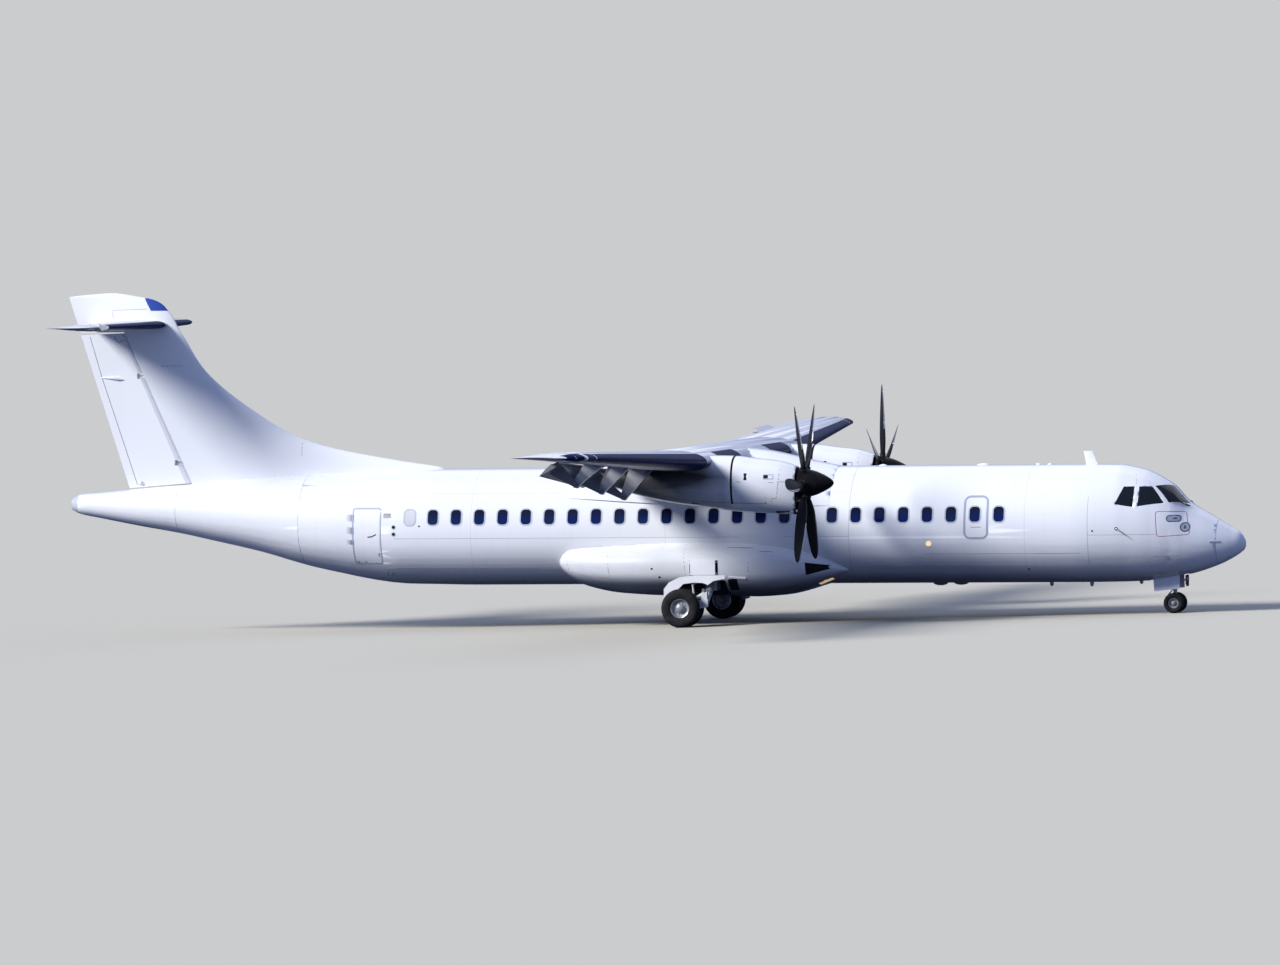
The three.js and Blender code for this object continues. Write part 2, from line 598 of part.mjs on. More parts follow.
function makeBody() {
  const front = (grow) => bodyBetween(RADOME_SEAM, FLIGHT_DECK_END, grow);
  const glassSkin = front(0).subtract(front(-PANE_DEPTH));
  const pocketSkin = front(40).subtract(front(-PANE_DEPTH - FIT));
  const pockets = [];
  for (const [name, corners] of Object.entries(PANES)) {
    pair(name, glassSkin.intersect(paneBlock(corners, -2)), 'glass');
    const pocket = pocketSkin.intersect(paneBlock(corners, 2));
    pockets.push(pocket, mirrored(pocket));
  }
  const exitPocket = cut(doorBox(EXIT, POCKET_INNER), bodyBetween(RADOME_SEAM, TAIL_SEAM, -EXIT.depth - FIT));
  const servicePocket = mirrored(
    cut(doorBox(SERVICE_DOOR, POCKET_INNER), bodyBetween(RADOME_SEAM, TAIL_SEAM, -SERVICE_DOOR.depth - FIT)),
  );
  const noseBay = box([NOSE_BAY.front, NOSE_BAY.back], [-NOSE_BAY.half, NOSE_BAY.half], [-200, NOSE_BAY.top]);
  const fuselage = cut(
    bodyBetween(RADOME_SEAM, TAIL_SEAM), ...pockets, exitPocket, mirrored(exitPocket), servicePocket, noseBay,
    doorBox(PASSENGER_DOOR, VESTIBULE), doorBox(CARGO_DOOR, VESTIBULE),
  );
  piece('fuselage', join(fuselage, jackPad(NOSE_JACK)), 'white');
  piece('radome', bodyBetween(0, RADOME_SEAM).translate([FIT, 0, 0]), 'white');
  const hollow = bodyBetween(TAIL_SEAM, TAIL_HOLLOW_END, -TAIL_SHELL).translate([5, 0, 0]);
  piece('tail_section', bodyBetween(TAIL_SEAM, CAP_SEAM).subtract(hollow).translate([-FIT, 0, 0]), 'white');
  piece('tail_cone_cap', bodyBetween(CAP_SEAM, LENGTH).translate([-2 * FIT, 0, 0]), 'steel');
  pair('emergency_exit', skinPanel(EXIT, 3), 'white');
  piece('service_door', mirrored(skinPanel(SERVICE_DOOR, 3)), 'white');
}

// The two doors that open: the passenger door on its sill, the cargo door at its head
function makeDoors() {
  for (const [name, door, height] of [
    ['passenger_door', PASSENGER_DOOR, PASSENGER_DOOR.sill],
    ['cargo_door', CARGO_DOOR, CARGO_DOOR.head],
  ]) {
    const side = Math.max(skinSide(door.front, height), skinSide(door.back, height)) + 6;
    const ends = [door.back, door.front].map((station) => at(station, side, height));
    hinged(name, skinPanel(door, DOOR_GAP), 'white', ...ends);
  }
}

// Flap, with its vane ahead of it and the ribs and arms that join them and reach down to the hinge
function flapSolid({ span, vaneDrop, brackets, hinge }) {
  const ends = span.map(wingAt);
  const dropAt = (side) => mix(...vaneDrop, (side - span[0]) / (span[1] - span[0]));
  const main = loft(ends.map((section) => outlineOn(section, FLAP_OUTLINE)));
  const vane = loft(ends.map((section, end) => outlineOn(section, VANE_OUTLINE, vaneDrop[end])));
  const [a, b] = hinge.map(([s, y, h]) => at(s, y, h));
  const ribs = brackets.map((side) => {
    const section = wingAt(side);
    const outline = [
      on(section, RIB.front, 1, -RIB.below - dropAt(side)), on(section, RIB.back, 1, -RIB.below),
      on(section, RIB.back, 0), on(section, RIB.front, 0, RIB.foot - dropAt(side)),
    ];
    return plate(outline.map((p) => [-p.x, p.z]), side - RIB.half, side + RIB.half);
  });
  const arms = brackets.map((side) => {
    const centre = hingePoint(a, b, side + ARM_SIDE);
    const section = wingAt(side + ARM_SIDE);
    const [front, back] = ARM_FOOT.map((share) => on(section, share, -1, ARM_SINK));
    const eye = ARM_EYE.map(([along, rise]) => [-centre.x + along, centre.z + rise]);
    const outline = [...eye, [-back.x, back.z], [-front.x, front.z]];
    return plate(outline, side + ARM_SIDE - ARM_HALF, side + ARM_SIDE + ARM_HALF);
  });
  const bores = brackets.map((side) => {
    const [from, to] = [-60, 60].map((offset) => hingePoint(a, b, side + ARM_SIDE + offset));
    return rod(from, to, FLAP_PIN + 3, 8);
  });
  return cut(join(main, vane, ...ribs, ...arms), ...bores);
}

function hingePoint(a, b, side) {
  return a.clone().lerp(b, (side - a.y) / (b.y - a.y));
}

// Fixed bracket under the wing for each flap hinge, with the pin that carries the flap's arm
function flapBrackets({ brackets, hinge }) {
  const [a, b] = hinge.map(([s, y, h]) => at(s, y, h));
  return brackets.map((side) => {
    const section = wingAt(side);
    const centre = hingePoint(a, b, side);
    const [front, back] = POD_FOOT.map((share) => on(section, share, -1, POD_SINK));
    const eye = POD_EYE.map(([along, rise]) => [-centre.x + along, centre.z + rise]);
    const outline = [[-front.x, front.z], ...eye, [-back.x, back.z]];
    const pin = rod(hingePoint(a, b, side), hingePoint(a, b, side + ARM_SIDE + ARM_HALF + 12), FLAP_PIN, 8);
    return join(plate(outline, side - POD_HALF, side + POD_HALF), pin);
  });
}

// Space under the wing's upper skin for a flap and its vane
function flapSpace({ span }) {
  return loft([span[0] - 20, span[1] + 20].map(wingAt).map((section) => [
    on(section, COVE, -1, -60), on(section, COVE + 0.006, 1, -34), on(section, SHROUD, 1, -22),
    on(section, SHROUD, 1, 60), on(section, 1.02, 1, 60), on(section, 1.02, -1, -60),
  ]));
}

function spoilerRing(section, front, back, depth) {
  return [
    on(section, front, 1), on(section, back, 1), on(section, back, 1, -depth), on(section, front, 1, -depth),
  ];
}

function makeWing() {
  const { inner, outer } = FLAPS;
  const centreHalf = cut(
    loft([0, WING.kink - FIT / 2].map((side) => sectionRing(wingAt(side)))),
    flapSpace(inner), flapSpace(outer),
  );
  const port = join(centreHalf, ...flapBrackets(inner));
  piece('wing_center', join(port, mirrored(port)), 'white');

  const [a, b] = AILERON_SPAN.map((side) => on(wingAt(side), AILERON_HINGE, 0));
  const aileronSections = [AILERON_SPAN[0] - 20, AILERON_SPAN[1] + 20].map(wingAt);
  const reach = noseRadius(wingAt(AILERON_SPAN[0]), AILERON_HINGE) + CLEAR + 30;
  const places = AILERON_BRACKETS;
  const spoilerEnds = SPOILER_SPAN.map(wingAt);
  const spoilerRoomEnds = [SPOILER_SPAN[0] - DOOR_GAP, SPOILER_SPAN[1] + DOOR_GAP].map(wingAt);
  const spoilerRoom = loft(spoilerRoomEnds.map((section) => [
    on(section, SPOILER_FRONT, 1, 40), on(section, SHROUD + 0.02, 1, 40), on(section, SHROUD + 0.02, 1, -50),
    on(section, SPOILER_FRONT, 1, -50),
  ]));
  const wing = join(
    cut(
      loft([WING.kink + FIT / 2, WING.boxEnd].map((side) => sectionRing(wingAt(side)))),
      flapSpace(outer), controlSpace(aileronSections, AILERON_HINGE), spoilerRoom,
    ),
    ...flapBrackets(outer), ...hingeBrackets(a, b, places, reach),
  );
  pair('wing', wing, 'white');

  const aileronBlade = loft(AILERON_SPAN.map((side) => controlRing(wingAt(side), AILERON_HINGE)));
  const aileron = cut(
    join(aileronBlade, balanceHorn(AILERON_HORN, wingAt)), ...bracketRoom(a, b, places, reach),
  );
  hinged('aileron_left', aileron, 'white', a, b);
  hinged('aileron_right', mirrored(aileron), 'white', flip(a), flip(b));

  const [c, d] = SPOILER_SPAN.map((side) => on(wingAt(side), SPOILER_FRONT + 0.006, 1, -9));
  const spoiler = loft(spoilerEnds.map((section) => spoilerRing(section, SPOILER_FRONT + 0.004, SHROUD, 17)));
  hinged('spoiler_left', spoiler, 'white', c, d, SPOILER_UP);
  hinged('spoiler_right', mirrored(spoiler), 'white', flip(c), flip(d));

  for (const [name, flap] of Object.entries(FLAPS)) {
    const [from, to] = flap.hinge.map(([s, y, h]) => at(s, y, h));
    const solid = flapSolid(flap);
    hinged(`flap_${name}_left`, solid, 'white', from, to, -FLAP_DOWN);
    hinged(`flap_${name}_right`, mirrored(solid), 'white', flip(from), flip(to), FLAP_DOWN);
  }
}

function flip(point) {
  return new THREE.Vector3(point.x, -point.y, point.z);
}

// A balance horn at the end of a flying surface
function balanceHorn(rows, sectionAt) {
  return loft(rows.map(([side, front, thin]) => {
    const section = sectionAt(side);
    const lead = section.lead + front * section.chord;
    return sectionRing({ ...section, lead, chord: section.chord * (1 - front), thick: section.thick * thin });
  }));
}

function makeTail() {
  const [from, to] = ELEVATOR_SPAN;
  const fixedEnd = to + 5;
  const whole = loft([-fixedEnd, 0, fixedEnd].map((side) => sectionRing(tailplaneAt(side))));
  const room = loft([-fixedEnd, 0, fixedEnd].map((side) => sectionRing({
    ...tailplaneAt(side), lead: tailplaneAt(side).lead - FIT, chord: tailplaneAt(side).chord + 2 * FIT,
    thick: TAILPLANE.thick + 0.001,
  })));
  const [a, b] = ELEVATOR_SPAN.map((side) => on(tailplaneAt(side), ELEVATOR_HINGE, 0));
  const space = controlSpace([from - CLEAR, fixedEnd + 20].map(tailplaneAt), ELEVATOR_HINGE);
  const reach = noseRadius(tailplaneAt(from), ELEVATOR_HINGE) + CLEAR + 30;
  const places = ELEVATOR_BRACKETS;
  const brackets = hingeBrackets(a, b, places, reach);
  const fixed = cut(whole, space, mirrored(space));
  piece('tailplane', join(fixed, ...brackets, ...brackets.map(mirrored)), 'white');

  const blade = loft([from, to + 30].map((side) => controlRing(tailplaneAt(side), ELEVATOR_HINGE)));
  const elevator = cut(
    join(blade, balanceHorn(ELEVATOR_HORN, tailplaneAt)), ...bracketRoom(a, b, places, reach),
  );
  hinged('elevator_left', elevator, 'white', a, b);
  hinged('elevator_right', mirrored(elevator), 'white', flip(a), flip(b));

  const rudderShare = (height) => (height - RUDDER_SPAN[0]) / (RUDDER_SPAN[1] - RUDDER_SPAN[0]);
  const rudderNose = (height) => mix(...RUDDER_NOSE, rudderShare(height));
  const hingeStation = (height) => RUDDER_HINGE.station + (height - RUDDER_HINGE.height) * RUDDER_HINGE.slope;
  const edgeStation = (height) => RUDDER_EDGE.station + (height - RUDDER_EDGE.height) * RUDDER_EDGE.slope;
  const bothSides = (halves, height) => {
    const port = halves.map(([s, y]) => at(s, y, height));
    const starboard = halves.slice(1).reverse().map(([s, y]) => at(s, -y, height));
    return [...port, ...starboard];
  };
  const finRing = ([height, lead]) => {
    const back = hingeStation(height) - rudderNose(height) - CLEAR;
    const halves = FIN_STEPS.map((share) => [
      mix(lead, back, share), rudderNose(height) * Math.sqrt(1 - (1 - Math.min(share / 0.4, 1)) ** 2),
    ]);
    return bothSides(halves, height);
  };
  const capRing = ([height, lead, back, thick]) => {
    const halves = CAP_SHAPE.map(([share, y]) => [mix(lead, back, share), y * thick]);
    return bothSides(halves, height);
  };
  const hingeAt = (height) => at(hingeStation(height), 0, height);
  const [low, high] = RUDDER_PINS.span.map(hingeAt);
  const pins = RUDDER_PINS.places.map((share) => {
    const centre = low.clone().lerp(high, share);
    const axis = new THREE.Vector3().subVectors(high, low).normalize();
    const along = (length, radius) => {
      const [bottom, top] = [-length, length].map((d) => centre.clone().addScaledVector(axis, d));
      return rod(bottom, top, radius, 8);
    };
    const around = ({ ahead, behind, half, rise }) => box(
      [-centre.x - ahead, -centre.x + behind], [-half, half], [centre.z - rise, centre.z + rise],
    );
    return {
      bracket: join(around(RUDDER_PINS.bracket), along(RUDDER_PINS.reach, HINGE_PIN)),
      room: join(around(RUDDER_PINS.notch), along(RUDDER_PINS.reach + 10, HINGE_PIN + 3)),
    };
  });
  const fin = cut(join(loft(FIN.map(finRing)), loft(FIN_CAP.map(capRing))), bodyRoom, room);
  piece('fin', join(fin, ...pins.map(({ bracket }) => bracket)), 'white');

  const rudderRing = (height, slant) => {
    const centre = hingeStation(height);
    const radius = rudderNose(height) - 1;
    const nose = [90, 54, 18, -18, -54, -90].map((angle) => {
      const t = THREE.MathUtils.degToRad(angle);
      return at(centre - radius * Math.cos(t), radius * Math.sin(t), height);
    });
    const back = edgeStation(height - slant);
    return [at(back, 5, height - slant), ...nose, at(back, -5, height - slant)];
  };
  const rudder = cut(
    loft([rudderRing(RUDDER_SPAN[0], 0), rudderRing(RUDDER_SPAN[1], RUDDER_SLANT)]),
    bodyBetween(RADOME_SEAM, CAP_SEAM, 30), ...pins.map((pin) => pin.room),
  );
  hinged('rudder', rudder, 'white', low, high);
}

const NACELLE_SHAPE = { sides: NACELLE_SIDES, upper: NACELLE_SQUARE, lower: NACELLE_SQUARE };

function makeEngines() {
  const side = ENGINE_SIDE;
  const block = (grow) => box(
    [ENGINE.front - grow, ENGINE.back + grow], [side - ENGINE.half - grow, side + ENGINE.half + grow],
    [ENGINE.bottom - grow, ENGINE.top + grow],
  );
  const shaftLine = [at(PROP_STATION, side, PROP_HEIGHT), at(SHAFT.end, side, PROP_HEIGHT)];
  const intake = box(
    [INTAKE.front, INTAKE.back], [side - INTAKE.half, side + INTAKE.half], [INTAKE.bottom, INTAKE.top],
  );
  const nacelle = cut(
    loft(NACELLE.map((row) => roundRing(row, { ...NACELLE_SHAPE, middleSide: side }))),
    wingRoom(side - NACELLE_REACH, side + NACELLE_REACH),
    block(20), intake, rod(...shaftLine, SHAFT.nacelleRoom, 16),
  );
  pair('nacelle', nacelle, 'white');
  pair('engine', cut(block(0), rod(...shaftLine, SHAFT.engineRoom, 16)), 'engine');

  for (const [name, place, phase] of [['left', side, 0], ['right', -side, 30]]) {
    const centre = at(PROP_STATION, place, PROP_HEIGHT);
    const ahead = at(PROP_STATION - 1, place, PROP_HEIGHT);
    hinged(`propeller_${name}`, propeller(centre, phase), 'blade', centre, ahead);
    hinged(`spinner_${name}`, spinner(centre, phase), 'blade', centre, ahead);
  }
}

function bladeTurn(phase, index) {
  return THREE.MathUtils.degToRad(phase + (360 / BLADES) * index);
}

// One blade that stands up from the centre; its leading edge turns to starboard at the top
function blade() {
  const outline = [[0.5, 0], [0.25, 0.5], [-0.2, 0.55], [-0.5, 0], [-0.2, -0.4], [0.25, -0.4]];
  return loft(BLADE.map(([radius, chord, thickness, pitch]) => {
    const angle = THREE.MathUtils.degToRad(pitch);
    const [sin, cos] = [Math.sin(angle), Math.cos(angle)];
    return outline.map(([along, through]) => {
      const [a, t] = [along * chord, through * thickness];
      return new THREE.Vector3(a * sin + t * cos, t * sin - a * cos, radius);
    });
  }));
}

function propeller(centre, phase) {
  const ahead = (distance) => new THREE.Vector3(centre.x + distance, centre.y, centre.z);
  const disc = ({ from, to, radius }, sides) => rod(ahead(from), ahead(to), radius, sides);
  const shaft = rod(ahead(PROP_STATION - SHAFT.back), ahead(BACK_PLATE.to), SHAFT.radius, 12);
  const one = blade();
  const blades = Array.from({ length: BLADES }, (_, index) => {
    const degrees = THREE.MathUtils.radToDeg(bladeTurn(phase, index));
    return one.rotate([degrees, 0, 0]).translate([centre.x, centre.y, centre.z]);
  });
  return join(disc(HUB, 12), disc(BACK_PLATE, 16), shaft, ...blades);
}

// Hollow pointed cover with a hole for each blade
function spinner(centre, phase) {
  const outline = (rows, wall) => rows.map(([station, radius]) => new THREE.Vector2(radius - wall, -station));
  const inner = outline(SPINNER.slice(1).reverse(), SPINNER_WALL);
  const profile = [...outline(SPINNER, 0), ...inner, new THREE.Vector2(0, -SPINNER[1][0] - 5)];
  const geometry = new THREE.LatheGeometry(profile, 16).rotateZ(-Math.PI / 2);
  const shell = solidOf(geometry.translate(0, centre.y, centre.z));
  const holes = Array.from({ length: BLADES }, (_, index) => {
    const angle = bladeTurn(phase, index);
    const along = new THREE.Vector3(0, -Math.sin(angle), Math.cos(angle));
    const [from, to] = BLADE_HOLE.reach.map((radius) => centre.clone().addScaledVector(along, radius));
    return rod(from, to, BLADE_HOLE.radius, 8);
  });
  return cut(shell, ...holes);
}

function makeFairings() {
  const hump = loft(HUMP.map(([station, edge, rise, degrees]) => {
    const [, top, bottom, half] = bodyRow(station);
    const middle = mix(bottom, top, WIDEST);
    return Array.from({ length: HUMP_STEPS + 1 }, (_, i) => {
      const angle = THREE.MathUtils.degToRad(mix(degrees, 180 - degrees, i / HUMP_STEPS));
      const start = Math.sin(THREE.MathUtils.degToRad(degrees));
      const share = (Math.sin(angle) - start) / (1 - start);
      const reach = half + edge + rise * share * share * (3 - 2 * share);
      return at(station, reach * Math.cos(angle), middle + reach * Math.sin(angle));
    });
  }));
  piece('wing_fairing', cut(hump, bodyRoom, wingRoom(-HUMP_REACH, HUMP_REACH)), 'white');

  const shape = { sides: 24, upper: FAIRING_SQUARE, lower: FAIRING_SQUARE };
  const bay = plate(MAIN_BAY.outline, MAIN_BAY.inner, MAIN_BAY.outer);
  const belly = loft(GEAR_FAIRING.map((row) => roundRing(row, shape)));
  const pad = jackPad(MAIN_JACK);
  piece('gear_fairing', join(cut(belly, bodyRoom, bay, mirrored(bay)), pad, mirrored(pad)), 'white');
}

// Tyre and rim profiles about the axle: radius, side
function tyreProfile({ radius, width, rim }) {
  const half = width / 2;
  return [
    [rim + 0.4, -half * 0.7], [mix(rim, radius, 0.5), -half], [mix(rim, radius, 0.86), -half * 0.88],
    [radius, -half * 0.5], [radius, half * 0.5], [mix(rim, radius, 0.86), half * 0.88],
    [mix(rim, radius, 0.5), half], [rim + 0.4, half * 0.7],
  ];
}

function rimSolid({ width, rim, axle, steps }, centre, outward) {
  const half = width / 2;
  const face = [
    [axle * 0.5, -0.5 * half], [rim, -0.6 * half], [rim, 0.66 * half], [rim * 0.86, 0.66 * half],
    [rim * 0.8, 0.2 * half], [rim * 0.4, 0.15 * half], [rim * 0.34, 0.7 * half], [axle * 0.5, 0.7 * half],
  ];
  return turned(face.map(([radius, side]) => [radius, side * outward]), centre, steps);
}

function wheelSet(name, wheel, centre, tyreNames) {
  const hinge = [centre, centre.clone().add(at(0, 1, 0))];
  const middles = wheel.sides.map((offset) => centre.clone().add(at(0, offset, 0)));
  const rims = middles.map((middle, i) => rimSolid(wheel, middle, Math.sign(wheel.sides[i])));
  const axle = rod(middles[0], middles[1], wheel.axle, 16);
  hinged(name, join(...rims, axle), 'rim', ...hinge);
  middles.forEach((middle, i) => {
    hinged(tyreNames[i], turned(tyreProfile(wheel), middle, wheel.steps), 'tyre', ...hinge);
  });
}

function makeMainGear() {
  const axleHeight = aboveGround(MAIN_AXLE, MAIN_WHEEL.radius);
  const { ahead, side, beam, tube, post, arm, damper, eye } = MAIN_LEG;
  const leg = MAIN_AXLE - ahead;
  const fromLeg = ([station, height]) => [leg + station, axleHeight + height];
  const fromAxle = ([station, height]) => [MAIN_AXLE + station, axleHeight + height];
  const [bottomStation, bottomHeight] = fromAxle(damper.bottom);
  const parts = [
    box([leg - beam.half, leg + beam.half], [MAIN_BAY.inner + FIT, beam.outer], [beam.bottom, beam.top]),
    rod(at(leg, tube.side, tube.height), at(leg, side, axleHeight + tube.rise), tube.radius, 12),
    plate([...post.outline.map(fromLeg), ...post.head.map((station) => [leg + station, post.top])],
      side - post.half, side + post.half),
    plate(
      [...arm.front.map(fromLeg), ...arm.back.map(fromAxle), fromLeg(arm.foot)],
      side - arm.half, side + arm.half,
    ),
    rod(
      at(leg + damper.top[0], side, damper.top[1]), at(bottomStation, side, bottomHeight),
      damper.radius, 10,
    ),
  ];
  const onAxle = (offset) => at(MAIN_AXLE, side + offset, axleHeight);
  const bore = rod(onAxle(-eye), onAxle(eye), MAIN_WHEEL.axle + 2, 16);
  pair('main_gear_leg', cut(join(...parts), bore), 'steel');

  pair('main_gear_door', plate(MAIN_DOOR.outline, ...MAIN_DOOR.sides), 'white');

  for (const [name, sign] of [['left', 1], ['right', -1]]) {
    const centre = at(MAIN_AXLE, sign * side, axleHeight);
    const tyres = ['right', 'left'].map((place) => `main_tyre_${name}_${place}`);
    wheelSet(`main_wheels_${name}`, MAIN_WHEEL, centre, tyres);
  }
}

function makeNoseGear() {
  const axleHeight = aboveGround(NOSE_AXLE, NOSE_WHEEL.radius);
  const { collar, brace, block, eye } = NOSE_LEG;
  const onLeg = ([stations, sides, heights], height) => box(
    stations.map((station) => NOSE_AXLE + station), sides, heights.map((rise) => height + rise),
  );
  const strut = rod(at(NOSE_AXLE, 0, collar), at(NOSE_AXLE, 0, NOSE_BAY.top - FIT), NOSE_LEG.strut, 16);
  const foot = at(NOSE_BAY.front + brace.foot, 0, NOSE_BAY.top - brace.foot);
  const stay = rod(at(NOSE_AXLE + brace.top, 0, brace.height), foot, brace.radius, 8);
  piece('nose_gear_leg', join(strut, stay, onLeg(NOSE_LEG.lampPlate, 0), onLeg(NOSE_LEG.link, 0)), 'steel');

  const piston = rod(at(NOSE_AXLE, 0, axleHeight), at(NOSE_AXLE, 0, collar - 6), NOSE_LEG.piston, 12);
  const bore = rod(at(NOSE_AXLE, -eye, axleHeight), at(NOSE_AXLE, eye, axleHeight), NOSE_WHEEL.axle + 2, 16);
  hinged('nose_gear_fork', cut(join(piston, onLeg(block, axleHeight)), bore), 'steel',
    at(NOSE_AXLE, 0, axleHeight), at(NOSE_AXLE, 0, 0));
  wheelSet('nose_wheels', NOSE_WHEEL, at(NOSE_AXLE, 0, axleHeight), ['nose_tyre_right', 'nose_tyre_left']);

  pair('nose_gear_door', cut(plate(NOSE_DOOR.outline, ...NOSE_DOOR.sides), bodyRoom), 'white');
}

makeBody();
makeDoors();
makeWing();
makeTail();
makeEngines();
makeFairings();
makeMainGear();
makeNoseGear();

// The part's origin is on the ground, under the middle of its length
root.updateMatrixWorld(true);
const extent = new THREE.Box3().setFromObject(root, true);
stance.position.x = -(extent.min.x + extent.max.x) / 2;

export default root;
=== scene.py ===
"""Looks of a twin turboprop airliner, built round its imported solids. Lengths are in metres.

A place on the airframe is given as station, side and height: the station is measured aft from
the tip of the nose, the side from the middle plane to port, and the height from the belly line.
"""
import json
import math

import bmesh
import bpy
import numpy as np
from bpy.props import FloatProperty, FloatVectorProperty, PointerProperty
from mathutils import Matrix, Vector
from mathutils.bvhtree import BVHTree


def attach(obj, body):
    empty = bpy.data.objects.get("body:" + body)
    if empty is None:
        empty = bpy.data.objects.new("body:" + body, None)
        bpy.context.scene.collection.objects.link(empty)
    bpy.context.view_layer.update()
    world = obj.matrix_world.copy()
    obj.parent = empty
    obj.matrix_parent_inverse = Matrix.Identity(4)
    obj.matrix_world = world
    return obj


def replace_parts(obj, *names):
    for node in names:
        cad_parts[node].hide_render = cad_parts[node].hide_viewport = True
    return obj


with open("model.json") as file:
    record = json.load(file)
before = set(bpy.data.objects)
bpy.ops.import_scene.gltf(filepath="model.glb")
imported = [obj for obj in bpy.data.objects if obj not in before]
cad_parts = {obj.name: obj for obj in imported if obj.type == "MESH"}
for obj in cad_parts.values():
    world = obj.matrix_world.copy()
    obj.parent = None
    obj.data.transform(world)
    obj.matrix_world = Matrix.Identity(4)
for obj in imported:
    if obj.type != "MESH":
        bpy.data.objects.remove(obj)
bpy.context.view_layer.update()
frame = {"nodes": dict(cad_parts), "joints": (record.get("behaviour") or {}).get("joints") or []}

bl_info = {
    "name": "Turboprop airliner",
    "version": (1, 0, 0),
    "blender": (4, 5, 0),
    "location": "View3D > Sidebar > Airliner",
    "description": "Builds the skin, glass, propellers, wheels and stage of a twin turboprop airliner",
    "category": "Object",
}

JOINTS = {joint["name"]: joint for joint in frame["joints"]}

# Stance: the main wheels' axle, the airframe's slope and the height of its belly line
AXLE_STATION = 12.37
WHEELBASE = 10.77
BELLY = 0.88
SLOPE = math.radians(1)
MAIN_RADIUS = 0.432
NOSE_RADIUS = 0.225
SHIFT = JOINTS["main_wheels_left_spin"]["pos_m"][0] - MAIN_RADIUS * math.tan(SLOPE)
COS, SIN = math.cos(SLOPE), math.sin(SLOPE)

# Body: half width and height of its straight part, and the share of its height where it is widest
BODY_HALF, BODY_HEIGHT, BODY_WIDEST = 1.432, 2.63, .4553
BODY_MIDDLE = BODY_HEIGHT * BODY_WIDEST
# Flat sides round the solids that the smooth skins are cut from
BODY_SIDES, BELLY_SIDES, NACELLE_SIDES = 28, 24, 20
# Cabin windows: how many, station of the first, height of their middle over the body's underside
WINDOWS, FIRST_WINDOW, WINDOW_MIDDLE = 26, 5.3, 1.575

# Sections of body, nacelle and gear fairing: station, top, bottom, half width
BODY = [
    (0, .88, .8, .04), (.04, .985, .7, .12), (.1, 1.08, .65, .2), (.29, 1.2, .525, .36),
    (.58, 1.38, .383, .548), (.83, 1.53, .29, .69), (1.1, 1.69, .205, .82), (1.25, 1.8, .17, .885),
    (1.4, 1.96, .14, .95), (1.56, 2.14, .11, 1.01), (1.75, 2.27, .08, 1.08), (1.94, 2.38, .052, 1.135),
    (2.18, 2.49, .028, 1.2), (2.49, 2.57, .015, 1.265), (2.78, 2.62, .008, 1.32), (3.72, 2.63, 0, 1.42),
    (4.5, 2.63, 0, 1.432), (17.6, 2.63, 0, 1.432), (18.46, 2.63, .017, 1.42), (19.2, 2.603, .033, 1.4),
    (19.9, 2.577, .113, 1.35), (20.7, 2.548, .268, 1.28), (21.5, 2.518, .445, 1.18), (22.6, 2.451, .76, 1.02),
    (23.8, 2.369, 1.033, .82), (24.6, 2.312, 1.207, .69), (25.5, 2.236, 1.365, .54), (26.5, 2.147, 1.56, .36),
    (26.98, 2.104, 1.66, .26), (27.17, 2, 1.75, .11),
]
NACELLE = [
    (9.25, 2.76, 1.7, .4), (9.4, 2.812, 1.705, .44), (9.61, 2.87, 1.715, .48), (10.16, 2.94, 1.745, .53),
    (10.64, 3, 1.775, .55), (11.15, 3.01, 1.845, .55), (11.7, 2.92, 1.915, .53), (12.3, 2.85, 2.01, .48),
    (13, 2.79, 2.18, .39), (13.6, 2.74, 2.4, .24), (13.95, 2.68, 2.54, .08),
]
GEAR_FAIRING = [
    (8.8, .44, .25, 1.12), (9.08, .67, .13, 1.3), (9.59, .9, -.05, 1.55), (10.34, 1.04, -.24, 1.78),
    (11, 1.09, -.28, 1.9), (11.56, 1.105, -.265, 1.93), (12.97, 1.105, -.25, 1.93), (14.07, 1.06, -.19, 1.83),
    (14.8, 1.045, -.05, 1.69), (15.15, 1, .11, 1.53), (15.3, .86, .25, 1.43), (15.37, .72, .38, 1.33),
]
ENGINE_SIDE = 4.05
PROP_STATION, PROP_HEIGHT, PROP_RADIUS = 9.08, 2.385, 1.965
BLADES = 6

# Flying surfaces: sides where the wing's taper starts and ends, and of its last rib
KINK, HALF_SPAN = 4.75, 13.525
TIP_RIB = 13.07
# Both ends of a tapered surface: leading edge, chord, thickness
WING_ENDS = ((11.1, 2.57, .18), (11.77, 1.55, .13))
TAIL_ENDS = ((24.82, 1.87, .12), (25.27, 1.34, .12))
WING_HEIGHT, WING_RISE, WING_CAMBER = 2.87, math.tan(math.radians(2.6)), .02
TAIL_HEIGHT = 5.96
# Shares of the chord: the solid's corners, and the cuts between them
CHORD_STEPS = [1, .82, .6, .38, .2, .08, .02, 0]
FINE_STEPS = [.002, .006, .012, .03, .045, .06, .1, .13, .16, .25, .31, .45, .52, .7]
TAIL_HALF, TAIL_RIB = 3.655, 3.305


# Frames: the airframe's own (station, side, height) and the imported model's

def to_row(points):
    """Places on the airframe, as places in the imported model."""
    p = np.atleast_2d(np.asarray(points, float))
    ahead, up = AXLE_STATION - p[:, 0], p[:, 2] + BELLY
    return np.column_stack([ahead * COS + up * SIN + SHIFT, p[:, 1], up * COS - ahead * SIN])


def to_air(points):
    """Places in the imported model, as station, side and height."""
    p = np.atleast_2d(np.asarray(points, float))
    x, z = p[:, 0] - SHIFT, p[:, 2]
    return np.column_stack([AXLE_STATION - x * COS + z * SIN, p[:, 1], x * SIN + z * COS - BELLY])


